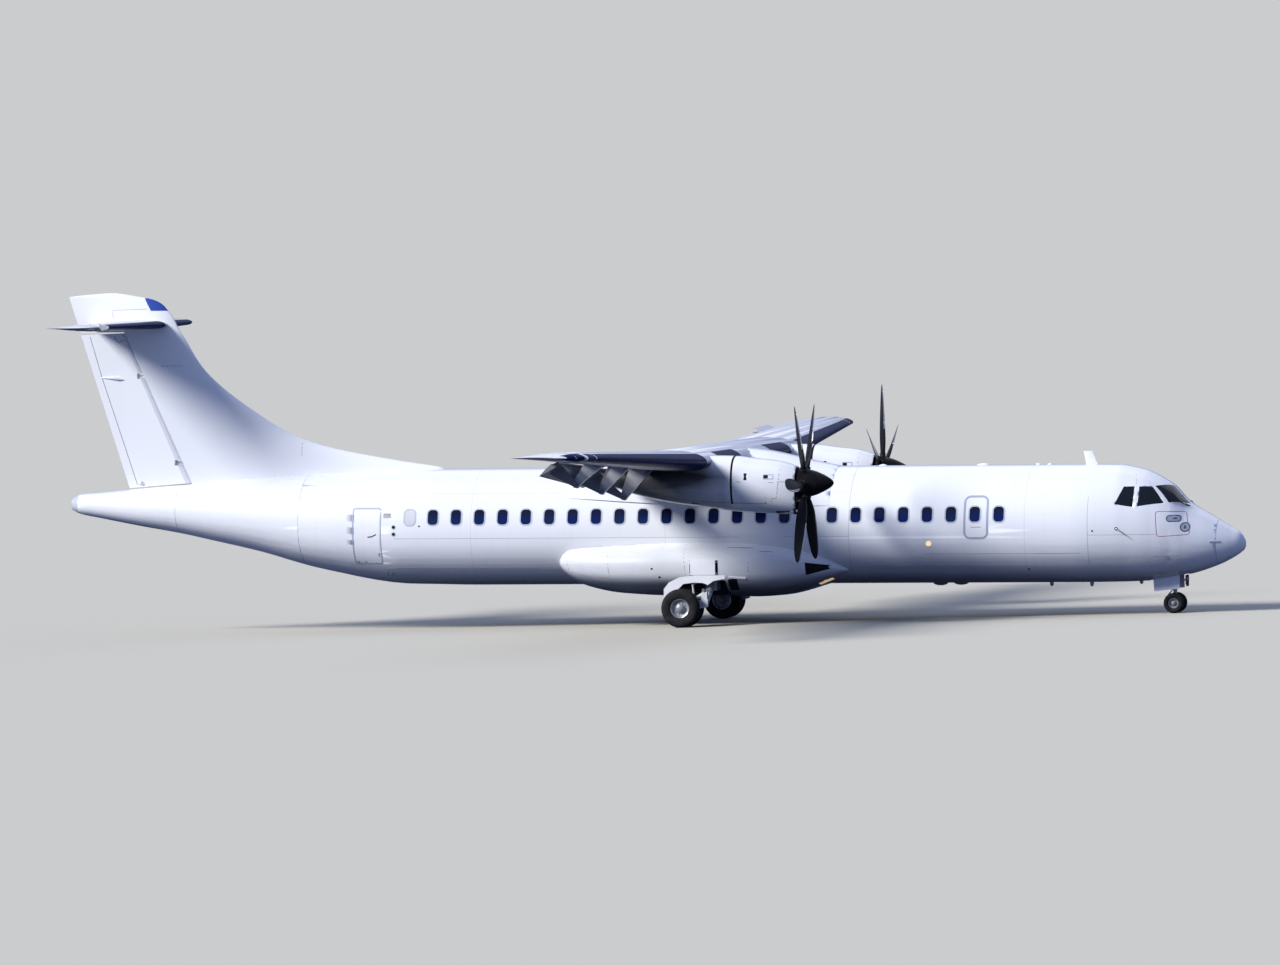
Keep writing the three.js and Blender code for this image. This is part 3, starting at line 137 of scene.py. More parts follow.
def row(station, side, height):
    """A place on the airframe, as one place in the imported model."""
    return Vector(to_row((station, side, height))[0])


def mix(a, b, share):
    return a + (b - a) * share


def round_angles(steps):
    """Angles of a full turn in equal steps."""
    return [2 * math.pi * k / steps for k in range(steps)]


def centre_of(places):
    """Mean station and height of places."""
    return [sum(values) / len(places) for values in zip(*places)]


# Smooth curves through tables

def curve(x, y, at):
    """Value at a place of a smooth curve through the points, which never overshoots them."""
    x, y, at = np.asarray(x, float), np.asarray(y, float), np.asarray(at, float)
    step = np.diff(x)
    rise = np.diff(y) / step
    slope = np.zeros_like(y)
    before, after = rise[:-1], rise[1:]
    w0, w1 = 2 * step[1:] + step[:-1], step[1:] + 2 * step[:-1]
    same = before * after > 0
    slope[1:-1][same] = ((w0 + w1)[same] / (w0[same] / before[same] + w1[same] / after[same]))
    slope[0], slope[-1] = rise[0], rise[-1]
    i = np.clip(np.searchsorted(x, at, side="right") - 1, 0, len(x) - 2)
    t = np.clip((at - x[i]) / step[i], 0, 1)
    return (y[i] * (1 + 2 * t) * (1 - t) ** 2 + y[i + 1] * t * t * (3 - 2 * t)
            + step[i] * t * (1 - t) * (slope[i] * (1 - t) - slope[i + 1] * t))


# How far out a point has to lie, as a share of the way to the skin, to count as part of it
ON_SKIN = .984


class Rounded:
    """A form whose cross sections are rounded squares, given by a table."""

    def __init__(self, rows, upper, lower, widest=.5, side=0):
        self.table = np.array(rows)
        self.upper, self.lower, self.widest, self.side = upper, lower, widest, side

    def straight(self, station):
        return [np.interp(station, self.table[:, 0], self.table[:, i]) for i in (1, 2, 3)]

    def smooth(self, station):
        x, at = np.sqrt(self.table[:, 0]), np.sqrt(np.maximum(station, 0))
        return [curve(x, self.table[:, i], at) for i in (1, 2, 3)]

    def reach(self, section, above):
        """Middle height, half width, height of the upper or lower half and its exponent."""
        top, bottom, half = section
        middle = bottom + (top - bottom) * self.widest
        reach = np.where(above, top - middle, middle - bottom)
        return middle, half, reach, np.where(above, self.upper, self.lower)

    def middle_at(self, station):
        top, bottom, _ = self.smooth(station)
        return bottom + (top - bottom) * self.widest

    def snap(self, p):
        """Moves the points on the skin of the flat sided form to the smooth one."""
        station, side, height = p.T
        top, bottom, _ = self.straight(station)
        above = height >= bottom + (top - bottom) * self.widest
        middle, half, reach, power = self.reach(self.straight(station), above)
        u, v = (side - self.side) / half, (height - middle) / reach
        level = np.maximum((np.abs(u) ** power + np.abs(v) ** power) ** (1 / power), 1e-6)
        middle, half, reach, power = self.reach(self.smooth(station), above)
        moved = np.column_stack([station, self.side + u / level * half, middle + v / level * reach])
        return np.where((level > ON_SKIN)[:, None], moved, p)

    def side_at(self, station, height):
        """Side distance of the smooth skin from the form's own middle."""
        middle, half, reach, power = self.reach(self.smooth(station), height >= self.middle_at(station))
        share = np.clip(np.abs(height - middle) / reach, 0, 1)
        return half * (1 - share ** power) ** (1 / power)

    def deep(self, p, level=.955):
        """Whether places lie well under the smooth skin."""
        station, side, height = p.T
        middle, half, reach, power = self.reach(self.smooth(station), height >= self.middle_at(station))
        out, up = np.abs((side - self.side) / half), np.abs((height - middle) / reach)
        return out ** power + up ** power < level ** power

    def ring(self, station, angles, grow=0):
        """Places round the smooth form at a station, at angles up from the side, pushed out by grow."""
        places = []
        for angle in angles:
            u, v = math.cos(angle), math.sin(angle)
            middle, half, reach, power = (float(x) for x in self.reach(self.smooth(station), v >= 0))
            y = math.copysign(abs(u) ** (2 / power), u) * half
            h = math.copysign(abs(v) ** (2 / power), v) * reach
            size = 1 + grow / math.hypot(y, h)
            places.append((station, self.side + y * size, middle + h * size))
        return places


SIDES = (("left", 1), ("right", -1))
BODY_FORM = Rounded(BODY, 2, 2.25, BODY_WIDEST)
NACELLE_FORMS = {name: Rounded(NACELLE, 2.4, 2.4, side=sign * ENGINE_SIDE) for name, sign in SIDES}
BELLY_FORM = Rounded(GEAR_FAIRING, 2.6, 2.6)


# Flying surfaces

def half_thickness(share, thick):
    """Half thickness of a symmetrical section, as a share of its chord."""
    s = np.clip(share, 0, 1)
    return 5 * thick * (.2969 * np.sqrt(s) - .126 * s - .3516 * s ** 2 + .2843 * s ** 3 - .1015 * s ** 4)


def wing_at(side):
    """Leading edge, chord, thickness, height and camber of the wing."""
    out = np.maximum(np.abs(side) - KINK, 0)
    share = out / (HALF_SPAN - KINK)
    return (*(mix(a, b, share) for a, b in zip(*WING_ENDS)), WING_HEIGHT + out * WING_RISE, WING_CAMBER)


def tailplane_at(side):
    """Leading edge, chord, thickness, height and camber of the tailplane."""
    share = np.abs(side) / TAIL_HALF
    return (*(mix(a, b, share) for a, b in zip(*TAIL_ENDS)), TAIL_HEIGHT + 0 * share, 0)


def surface_height(section, share, surface):
    """Height of a section's upper (1) or lower (-1) side at a share of its chord."""
    _, chord, thick, height, camber = section
    return height + chord * (4 * camber * share * (1 - share) + surface * half_thickness(share, thick))


# How far from a flat panel a point may lie and still be moved with it
PANEL_GAP = .004


class Foil:
    """A flying surface whose skin runs straight from each end section to the next."""

    def __init__(self, at, *ends):
        self.at, self.ends = at, np.array(ends)

    def height(self, side, share, surface, steps=None):
        """Height of the smooth skin, or of the flat panels between steps of the chord."""
        out = np.abs(side)
        i = np.clip(np.searchsorted(self.ends, out, side="right") - 1, 0, len(self.ends) - 2)
        a, b = self.ends[i], self.ends[i + 1]
        heights = []
        for end in (a, b):
            section = self.at(end)
            if steps is None:
                heights.append(surface_height(section, share, surface))
            else:
                low = np.clip(np.searchsorted(steps, share, side="right") - 1, 0, len(steps) - 2)
                below, above = steps[low], steps[low + 1]
                corners = (surface_height(section, s, surface) for s in (below, above))
                heights.append(mix(*corners, (share - below) / (above - below)))
        return mix(*heights, (out - a) / (b - a))

    def point(self, side, share, surface, lift=0):
        """A place on the smooth skin, lifted off it."""
        lead, chord, *_ = self.at(side)
        low, high = max(share - 1e-4, 0), share + 1e-4
        run = chord * (high - low)
        rise = self.height(side, high, surface) - self.height(side, low, surface)
        normal = (Vector((-rise, 0, run)) * surface).normalized()
        height = self.height(side, share, surface)
        return lead + share * chord + normal.x * lift, side, height + normal.z * lift

    def snap(self, p):
        """Moves the flat panels between the steps of the chord to the smooth section."""
        station, side, height = p.T
        lead, chord, *_ = self.at(side)
        share = (station - lead) / chord
        inside, steps = np.clip(share, 0, 1), np.array(CHORD_STEPS[::-1])
        moved, gap = height.copy(), np.full(len(p), PANEL_GAP)
        for surface in (1, -1):
            flat = self.height(side, inside, surface, steps)
            away = np.abs(height - flat)
            near = (away < gap) & (share > -.001) & (share < 1.001)
            moved = np.where(near, height + self.height(side, inside, surface) - flat, moved)
            gap = np.where(near, away, gap)
        return np.column_stack([station, side, moved])


WING = Foil(wing_at, 0, KINK, TIP_RIB)
TAILPLANE = Foil(tailplane_at, 0, TAIL_RIB)


# Mesh making

def linked(name, data):
    """A new object in the scene."""
    obj = bpy.data.objects.new(name, data)
    bpy.context.scene.collection.objects.link(obj)
    return obj


def finished(obj, finish, body):
    """Gives an object its material and the body that it moves with."""
    obj.data.materials.clear()
    obj.data.materials.append(material_of(finish))
    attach(obj, body)
    return obj


def shade(mesh, degrees):
    """Smooth shading, apart from edges sharper than the angle."""
    mesh.polygons.foreach_set("use_smooth", [True] * len(mesh.polygons))
    mesh.set_sharp_from_angle(angle=math.radians(degrees))


def piece(name, verts, faces, finish, body="airframe", slot="white_paint", sharp=35, thick=0, bevel=0):
    """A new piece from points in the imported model's frame; thick makes a closed slab of a sheet."""
    mesh = bpy.data.meshes.new(name)
    mesh.from_pydata([tuple(v) for v in verts], [], faces)
    bm = bmesh.new()
    bm.from_mesh(mesh)
    bmesh.ops.remove_doubles(bm, verts=bm.verts, dist=1e-6)
    if not thick:
        bmesh.ops.recalc_face_normals(bm, faces=bm.faces)
    bm.to_mesh(mesh)
    bm.free()
    shade(mesh, sharp)
    obj = linked(name, mesh)
    if thick:
        solid = obj.modifiers.new("Thickness", "SOLIDIFY")
        solid.thickness = thick
        solid.offset = 0
    if bevel:
        rounding = obj.modifiers.new("Rounding", "BEVEL")
        rounding.width = bevel
        rounding.segments = 2
        rounding.limit_method = "ANGLE"
    return finished(obj, finish, body)


class Shape:
    """Points and faces that are gathered for one piece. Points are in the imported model's frame."""

    def __init__(self):
        self.verts, self.faces = [], []

    def loft(self, rings, closed=True, caps=True):
        """Faces from ring to ring, round each ring if it is closed, with a face over both ends."""
        start, size = len(self.verts), len(rings[0])
        for ring in rings:
            self.verts += [tuple(p) for p in ring]
        around = size if closed else size - 1
        for i in range(len(rings) - 1):
            for j in range(around):
                a, b = start + i * size + j, start + i * size + (j + 1) % size
                self.faces.append((a, b, b + size, a + size))
        if caps:
            self.faces.append(tuple(start + j for j in range(size))[::-1])
            self.faces.append(tuple(start + (len(rings) - 1) * size + j for j in range(size)))
        return self

    def lathe(self, profile, centre, axis, steps=48, closed=True):
        """Turns a profile of radius and distance along the axis."""
        axis = Vector(axis).normalized()
        across = axis.orthogonal().normalized()
        other = axis.cross(across)
        rings = []
        for angle in round_angles(steps):
            out = across * math.cos(angle) + other * math.sin(angle)
            rings.append([centre + axis * along + out * radius for radius, along in profile])
        rings.append(rings[0])
        return self.loft(rings, closed=closed, caps=False)

    def tube(self, points, radius, sides=10):
        """A round bar through points; the radius may differ from point to point."""
        points = [Vector(p) for p in points]
        radii = radius if isinstance(radius, (list, tuple)) else [radius] * len(points)
        rings, across = [], None
        for i, p in enumerate(points):
            along = (points[min(i + 1, len(points) - 1)] - points[max(i - 1, 0)]).normalized()
            across = along.orthogonal() if across is None else across - along * across.dot(along)
            across.normalize()
            other = along.cross(across)
            rings.append([p + (across * math.cos(a) + other * math.sin(a)) * radii[i]
                          for a in round_angles(sides)])
        return self.loft(rings)

    def block(self, low, high):
        """A box between two places on the airframe."""
        (s0, y0, h0), (s1, y1, h1) = low, high
        rings = [[row(s, y, h) for y, h in ((y0, h0), (y1, h0), (y1, h1), (y0, h1))] for s in (s0, s1)]
        return self.loft(rings)

    def make(self, name, finish, body="airframe", slot="white_paint", **rest):
        return piece(name, self.verts, self.faces, finish, body, slot, **rest)


def fine(name, node, snap, planes, finish, body="airframe", sharp=35,
         inner=None, inside=None):
    """A copy of a node that is cut along planes and moved to its smooth form, in place of the node.

    A plane is a place, a direction and a test of the places it may cut, in the airframe's frame.
    Faces whose middle passes the test inside have the finish inner."""
    bm = bmesh.new()
    bm.from_mesh(frame["nodes"][node].data)
    bmesh.ops.remove_doubles(bm, verts=bm.verts, dist=1e-5)
    for vert, p in zip(bm.verts, to_air([v.co for v in bm.verts])):
        vert.co = p
    for place, direction, test in planes:
        faces = bm.faces[:] if test is None else [f for f in bm.faces if test(f.calc_center_median())]
        parts = {v for f in faces for v in f.verts} | {e for f in faces for e in f.edges}
        bmesh.ops.bisect_plane(bm, geom=list(parts) + faces, dist=1e-6, plane_co=place, plane_no=direction)
    moved = snap(np.array([v.co for v in bm.verts]))
    for vert, p in zip(bm.verts, to_row(moved)):
        vert.co = p
    bmesh.ops.recalc_face_normals(bm, faces=bm.faces)
    mesh = bpy.data.meshes.new(name)
    bm.to_mesh(mesh)
    bm.free()
    shade(mesh, sharp)
    obj = linked(name, mesh)
    finished(obj, finish, body)
    if inner:
        obj.data.materials.append(material_of(inner))
        within = inside(to_air([p.center for p in mesh.polygons]))
        mesh.polygons.foreach_set("material_index", within.astype(np.int32))
    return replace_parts(obj, node)


def dressed(finish, *nodes):
    """Gives CAD nodes their finish; their shapes stay as they are."""
    for node in nodes:
        mesh = frame["nodes"][node].data
        mesh.materials.clear()
        mesh.materials.append(material_of(finish))
        shade(mesh, 30)


def station_planes(stations):
    """Planes across the aircraft at stations."""
    return [((float(s), 0, 0), (1, 0, 0), None) for s in stations]


def ring_planes(form, station, sides, low=-1, high=99, split=4):
    """Planes along a form that split its flat sides further; they pass through its middle at a station."""
    top, bottom, half = (float(v) for v in form.straight(station))
    middle = mix(bottom, top, form.widest)
    planes = []
    for i in range(sides // 2 * split):
        if i % split == 0:
            continue
        angle = 2 * math.pi * i / (sides * split)
        u = math.copysign(abs(math.cos(angle)) ** (2 / form.upper), math.cos(angle)) * half
        v = abs(math.sin(angle)) ** (2 / form.upper) * (top - middle)
        planes.append(((station, form.side, middle), (0, -v, u), lambda p: low < p.x < high))
    return planes


def chord_planes(at, inner, outer, shares, sign=1):
    """Upright planes through lines of equal share of the chord, on one side of the aircraft."""

    def on_side(p):
        return p.y * sign > -.01

    planes = []
    for share in shares:
        a, b = (float(at(side)[0] + share * at(side)[1]) for side in (inner, outer))
        planes.append(((a, sign * inner, 0), (outer - inner, -sign * (b - a), 0), on_side))
    return planes


def both_chord_planes(at, outer, shares):
    """The same on both sides, out from the middle."""
    return chord_planes(at, 0, outer, shares) + chord_planes(at, 0, outer, shares, -1)


# Materials

class Value:
    """A socket of a shader. Using it in an expression adds the Math nodes for it."""

    def __init__(self, tree, socket):
        self.tree, self.socket = tree, socket

    def maths(self, operation, *others):
        made = self.tree.nodes.new("ShaderNodeMath")
        made.operation = operation
        for place, value in zip(made.inputs, (self, *others)):
            feed(self.tree, place, value)
        return Value(self.tree, made.outputs[0])

    def __add__(self, other):
        return self.maths("ADD", other)

    def __sub__(self, other):
        return self.maths("SUBTRACT", other)

    def __rsub__(self, other):
        return (self * -1) + other

    def __mul__(self, other):
        return self.maths("MULTIPLY", other)

    def __truediv__(self, other):
        return self.maths("DIVIDE", other)

    def __abs__(self):
        return self.maths("ABSOLUTE")

    __radd__, __rmul__ = __add__, __mul__

    def least(self, other):
        return self.maths("MINIMUM", other)

    def most(self, other):
        return self.maths("MAXIMUM", other)

    def clamp(self):
        return self.most(0).least(1)

    def over(self, edge, soft=.001):
        """1 where the value is over the edge and 0 below it, with a soft step between."""
        return ((self - (edge - soft)) / (2 * soft)).clamp()

    def under(self, edge, soft=.001):
        return 1 - self.over(edge, soft)

    def near(self, middle, half, soft=.001):
        """1 where the value lies within half of the middle."""
        return abs(self - middle).under(half, soft)


def feed(tree, place, value):
    """Links a value to a socket, or sets the socket to a constant."""
    if isinstance(value, Value):
        tree.links.new(value.socket, place)
    else:
        place.default_value = value


class Finish:
    """A material with its shader, places on the airframe, and the one way to add any other node."""

    def __init__(self, name, colour, roughness, **sockets):
        self.material = bpy.data.materials.new(name)
        self.material.use_nodes = True
        self.tree = self.material.node_tree
        self.tree.nodes.clear()
        self.shader = self.tree.nodes.new("ShaderNodeBsdfPrincipled")
        output = self.tree.nodes.new("ShaderNodeOutputMaterial")
        self.tree.links.new(self.shader.outputs[0], output.inputs[0])
        self.place = self.node("ShaderNodeTexCoord", output="Object")
        self.set("Base Color", (*colour, 1))
        self.set("Roughness", roughness)
        for key, value in sockets.items():
            self.set(key.replace("_", " "), value)
        self.material.diffuse_color = (*colour, 1)

    def node(self, kind, settings=None, inputs=None, output=0):
        """Any node: its settings come first, then the values or links of its sockets."""
        made = self.tree.nodes.new(kind)
        for key, value in (settings or {}).items():
            if key == "stops":
                while len(made.color_ramp.elements) < len(value):
                    made.color_ramp.elements.new(1)
                for stop, (position, colour) in zip(made.color_ramp.elements, value):
                    stop.position, stop.color = position, (*colour, 1)
            else:
                setattr(made, key, value)
        for key, value in (inputs or {}).items():
            feed(self.tree, made.inputs[key], value)
        return Value(self.tree, made.outputs[output])

    def set(self, socket, value):
        feed(self.tree, self.shader.inputs[socket], value)

    def along(self, direction, place=None):
        """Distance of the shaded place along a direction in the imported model's frame."""
        return self.node("ShaderNodeVectorMath", {"operation": "DOT_PRODUCT"},
                         {0: place or self.place, 1: direction}, "Value")

    def airframe(self):
        """Station, side and height of the shaded place."""
        station = (AXLE_STATION + SHIFT * COS) - self.along((COS, 0, -SIN))
        return station, self.along((0, 1, 0)), self.along((SIN, 0, COS)) - (SHIFT * SIN + BELLY)

    def noise(self, scale, detail=3, roughness=.55, stretch=(1, 1, 1)):
        place = self.node("ShaderNodeVectorMath", {"operation": "MULTIPLY"},
                          {0: self.place, 1: stretch}, "Vector")
        inputs = {"Vector": place, "Scale": scale, "Detail": detail, "Roughness": roughness}
        return self.node("ShaderNodeTexNoise", {}, inputs, "Fac")

    def blend(self, mask, a, b):
        """Colour a where the mask is 0 and b where it is 1."""
        a, b = (c if isinstance(c, Value) else (*c, 1) for c in (a, b))
        return self.node("ShaderNodeMix", {"data_type": "RGBA"}, {"Factor": mask, 6: a, 7: b}, 2)

    def bump(self, height, distance, strength=1):
        inputs = {"Strength": strength, "Distance": distance, "Height": height}
        self.set("Normal", self.node("ShaderNodeBump", {}, inputs))


def colours():
    return bpy.context.scene.airliner_colours


def any_of(masks):
    """Where any of the masks is 1."""
    total = masks[0]
    for mask in masks[1:]:
        total = total.most(mask)
    return total


def skin_paint(name, joints, rows, dirt_and_shade, dark_dirt_and_shade):
    """Gloss white skin with panel joints at stations, seams along it at heights, and dirt and painted shade
    by place.
    """
    f = Finish(name, colours().white, .22, Coat_Weight=.6, Coat_Roughness=.08)
    station, side, height = f.airframe()
    hull = height.under(2.64) * abs(side).under(1.7, .05)
    marks = [station.near(s, .005, .003) for s in joints] + [
        height.near(h, .004, .003) * station.over(a) * station.under(b) for h, a, b in rows]
    cloud = f.noise(.9, 5)
    # This mask holds painted shade along with dirt: darker low down, and under the wing on the nacelles.
    dirt = (dirt_and_shade(station, side, height) * (.45 + cloud)
            + f.noise(2.2, 4, .6, (3.2, 1, .25)).over(.62, .12) * .035 * hull).clamp()
    lines_mask = any_of(marks) * hull if marks else 0
    colour = f.blend(dirt, colours().white, colours().grime_and_shade)
    colour = f.blend((cloud - .35).clamp() * .12, colour, (.72, .75, .84))
    # Near black where the second mask is: dirt with painted shade under the belly and behind the engines.
    colour = f.blend((dark_dirt_and_shade(station, side, height) * (.5 + f.noise(1.3, 4, .6, (.25, 2, 1)))).clamp(), colour,
                     (.05, .05, .055))
    colour = f.blend(lines_mask * .3, colour, (.2, .21, .24)) if marks else colour
    f.set("Base Color", colour)
    f.set("Roughness", .2 + dirt * .3 + cloud * .08)
    f.bump(f.noise(1.6, 2) * .4 - lines_mask * .12 if marks else f.noise(1.6, 2) * .4, .004, .35)
    return f.material


def white_paint():
    """The body's paint: dirt and painted shade on its lower side, and dark dirt and painted shade under its
    belly.
    """
    return skin_paint(
        "White paint", (4.72, 12.9, 17.4), ((2.1, 8.7, 19.2), (.5, 4.7, 19)),
        # Darker towards the bottom, and near black under the belly: painted shade mixed with dirt.
        lambda s, y, h: (.95 - h).clamp() * h.under(1.1, .1) * .5,
        lambda s, y, h: h.under(.14, .16) * abs(y).under(1.95, .1) * .75)


def nacelle_paint():
    """The nacelles' paint, with soot and the wing's painted shadow behind the engine, and soot and painted
    shade low down.
    """
    return skin_paint(
        "Nacelle paint", (), (),
        # Darker low down, and near black behind the engine under the wing: soot with painted shade and the
        # wing's painted shadow.
        lambda s, y, h: h.under(2.15, .3) * .2 + s.over(10.72, .1) * h.under(2.75, .2) * .42,
        lambda s, y, h: s.over(10.8, .5) * h.near(2.55, .12, .16) + s.over(11.6, .6) * h.under(2.75, .3) * .8)


def wing_paint():
    """Wing skin: grey below as painted shade, soot with painted shade behind each engine, joints across the
    chord.
    """
    f = Finish("Wing paint", colours().white, .3, Coat_Weight=.3, Coat_Roughness=.15)
    station, side, _ = f.airframe()
    away = abs(side)
    ribs = any_of([away.near(y, .004, .002) for y in (5.6, 6.7, 7.8, 8.9, 11, 12.1)])
    spar = any_of([station.near(s, .004, .002) for s in (11.62, 12.42)]) * away.over(4.8)
    up = f.node("ShaderNodeSeparateXYZ", {}, {0: f.node("ShaderNodeNewGeometry", output="Normal")}, "Z")
    below = up.under(-.1, .3)
    cloud = f.noise(1.4, 5)
    # Near black under the wing behind each engine: soot with painted shade.
    soot = away.near(ENGINE_SIDE + .3, 1.1, .6) * (.6 + cloud) * below
    # The underside is painted dark grey by the way it faces: painted shade.
    colour = f.blend(below * .9, (.72, .735, .78), (.13, .135, .155))
    colour = f.blend((cloud - .3).clamp() * .25, colour, (.5, .52, .57))
    colour = f.blend(soot.clamp() * .95, colour, (.012, .012, .013))
    colour = f.blend(ribs.most(spar) * .45, colour, (.2, .21, .24))
    f.set("Base Color", colour)
    f.set("Roughness", .3 + cloud * .15)
    f.bump(f.noise(2.5, 2) * .4 - ribs.most(spar) * .2, .003, .35)
    return f.material


def flap_grey():
    """Satin grey of the flaps, with soot and oil streaks."""
    f = Finish("Flap grey", colours().grey, .42)
    side = f.airframe()[1]
    cloud = f.noise(2.4, 5)
    streak = f.noise(3, 4, .6, (.3, 3, 1))
    soot = abs(side).near(ENGINE_SIDE, .5, .35) * (.3 + cloud)
    colour = f.blend((streak - .4).clamp() * .9, colours().grey, (.18, .185, .2))
    colour = f.blend((.55 - cloud).clamp() * .6, colour, (.5, .52, .56))
    colour = f.blend(soot.clamp() * .6, colour, (.06, .06, .065))
    f.set("Base Color", colour)
    f.set("Roughness", .34 + cloud * .25)
    f.bump(cloud, .003, .3)
    return f.material


def gloss_black(name, colour, roughness, scratch, shine):
    """Black rubber or composite, worn grey in fine scratches."""
    f = Finish(name, colour, roughness, Specular_IOR_Level=shine)
    wear = f.noise(7, 6, .65)
    f.set("Base Color", f.blend((wear - .55).clamp() * scratch, colour, (.17, .175, .19)))
    f.set("Roughness", roughness + wear * .2)
    f.bump(f.noise(40, 3), .0006, .25)
    return f.material


def dark_glass(name, colour, smear):
    """Glass over a dark room: a gloss surface with faint smears."""
    f = Finish(name, colour, .04, Specular_IOR_Level=.28)
    cloud = f.noise(3, 4)
    f.set("Base Color", f.blend((cloud - .4).clamp() * smear, colour, (.06, .075, .11)))
    f.set("Roughness", .03 + cloud * .07)
    return f.material


def cabin_window_glass():
    """Cabin pane: light from the far side below, the dark ceiling above, and no two quite alike."""
    colour = colours().cabin_glass
    f = Finish("Cabin glass", colour, .04, Specular_IOR_Level=.28)
    height = f.airframe()[2]
    up = ((height - (WINDOW_MIDDLE - sizes().window_height / 2)) * (1 / sizes().window_height)).clamp()
    odd = ((f.noise(.9, 1) - .45) * 5).clamp()
    lower = f.blend(odd, colour, (.01, .022, .075))
    f.set("Base Color", f.blend((up * 1.5 - .35).clamp(), lower, (.007, .01, .026)))
    f.set("Roughness", .03 + f.noise(3, 4) * .07)
    return f.material


def plain_paint(name, colour, roughness=.4, metallic=0, dirt=(.12, .11, .1), amount=.35, scale=6, shine=.5):
    """Paint or metal of a small part, with dirt in patches."""
    f = Finish(name, colour, roughness, Metallic=metallic, Specular_IOR_Level=shine)
    cloud = f.noise(scale, 5)
    f.set("Base Color", f.blend((cloud - .42).clamp() * amount * 3, colour, dirt))
    f.set("Roughness", roughness + (cloud - .5) * .3)
    f.bump(f.noise(scale * 6, 3), .0008, .3)
    return f.material


def tyre_rubber():
    """Tyre rubber with dust in patches and a fine grain."""
    f = Finish("Tyre rubber", colours().tyre, .78, Specular_IOR_Level=.2)
    dust = f.noise(9, 6, .6)
    f.set("Base Color", f.blend((dust - .4).clamp() * .6, colours().tyre, (.11, .105, .1)))
    f.set("Roughness", .68 + dust * .25)
    f.bump(f.noise(60, 4), .0012, .5)
    return f.material


def lamp_glass(name, dark, light, glow=0):
    """Clear lens over a bright reflector, with a fine ripple, lit or not."""
    f = Finish(name, light, .05, Coat_Weight=1, Emission_Color=(*light, 1), Emission_Strength=glow)
    ripple = f.noise(90, 1)
    f.set("Base Color", f.blend(ripple, dark, light))
    f.bump(ripple, .002, .6)
    return f.material


FINISH_MAKERS = {
    "white": white_paint,
    "nacelle": nacelle_paint,
    "wing": wing_paint,
    "flap": flap_grey,
    "boot": lambda: gloss_black("De-icing boot", colours().boot, .3, .2, .03),
    # A lighter blue than the other boots' rubber: a painted reflection of the sky.
    "tip boot": lambda: gloss_black("Fin tip boot with painted sky reflection", (.02, .06, .34), .3, .3, .4),
    "blade": lambda: gloss_black("Propeller black", colours().blade, .34, .4, .12),
    "glass": lambda: dark_glass("Dark glass", colours().glass, .2),
    "cabin glass": cabin_window_glass,
    "tyre": tyre_rubber,
    "lamp": lambda: lamp_glass("Lamp glass", (.5, .53, .56), (.85, .87, .9)),
    "warm lamp": lambda: lamp_glass("Warm lamp glass", (.55, .4, .25), (1, .72, .38), .8),
    "frame": lambda: plain_paint("Window frame", (.52, .55, .62), .35, amount=.15),
    "blank": lambda: plain_paint("Blank window", (.62, .64, .68), .35, amount=.12),
    "outline": lambda: plain_paint("Door outline", (.38, .42, .55), .4, amount=.2),
    "door": lambda: plain_paint("Door paint", (.88, .89, .93), .3, amount=.08, scale=3),
    "red line": lambda: plain_paint("Hatch outline", (.42, .13, .12), .4, amount=.2),
    "seam": lambda: plain_paint("Seam", (.1, .105, .12), .6, amount=.2),
    "faint seam": lambda: plain_paint("Body seam", (.36, .38, .45), .5, amount=.2),
    # Near black of vents, hollows and the nacelles' inner faces is painted shade; the same finish draws dark
    # joints.
    "dark": lambda: plain_paint("Painted hollow shade and dark joints", (.012, .012, .013), .8, amount=.15, shine=.05),
    "gear": lambda: plain_paint("Gear paint", (.7, .72, .74), .38, dirt=(.1, .085, .07), amount=.45, scale=9),
    "rim": lambda: plain_paint("Wheel metal", (.6, .61, .63), .3, .85, (.16, .15, .14), .3, 12),
    "hub": lambda: plain_paint("Wheel disc", (.36, .37, .39), .45, .3, (.08, .075, .07), .5, 12),
    "hose": lambda: plain_paint("Black hose", (.022, .022, .024), .55, amount=.2, shine=.2),
    "metal": lambda: plain_paint("Bare metal", (.48, .49, .5), .32, .9, (.2, .19, .18), .4, 8),
    "engine": lambda: plain_paint("Engine casing", (.16, .15, .14), .5, .7, (.05, .045, .04), .5, 5),
    "lining": lambda: plain_paint("Entrance lining", (.42, .42, .4), .6, amount=.2, scale=2),
    # Near black of the hollow under the wing's rear skin: painted shade.
    "cove": lambda: plain_paint("Painted shade of the wing cove", (.05, .052, .058), .6, amount=.5, scale=4, shine=.2),
    # Near black of the wheel bay, the entrance floors and the taxi light plate: painted shade in recesses.
    "bay": lambda: plain_paint("Painted shade of bays, floors and the taxi light plate", (.02, .021, .023), .7, amount=.3, scale=4, shine=.1),
}
MADE = {}


def material_of(finish):
    """The material of a finish, made the first time that a piece asks for it."""
    if finish not in MADE:
        MADE[finish] = FINISH_MAKERS[finish]()
    return MADE[finish]


# Lines and patches on the body's skin

def skin(station, height, sign, lift=0):
    """A place on the body's skin, lifted off it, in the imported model's frame."""
    e = 1e-3
    side = BODY_FORM.side_at(station, height)
    slope = (BODY_FORM.side_at(station + e, height) - BODY_FORM.side_at(station - e, height)) / (2 * e)
    lean = (BODY_FORM.side_at(station, height + e) - BODY_FORM.side_at(station, height - e)) / (2 * e)
    out = Vector((-float(slope), sign, -float(lean))).normalized()
    return row(station + out.x * lift, sign * float(side) + out.y * lift, height + out.z * lift)


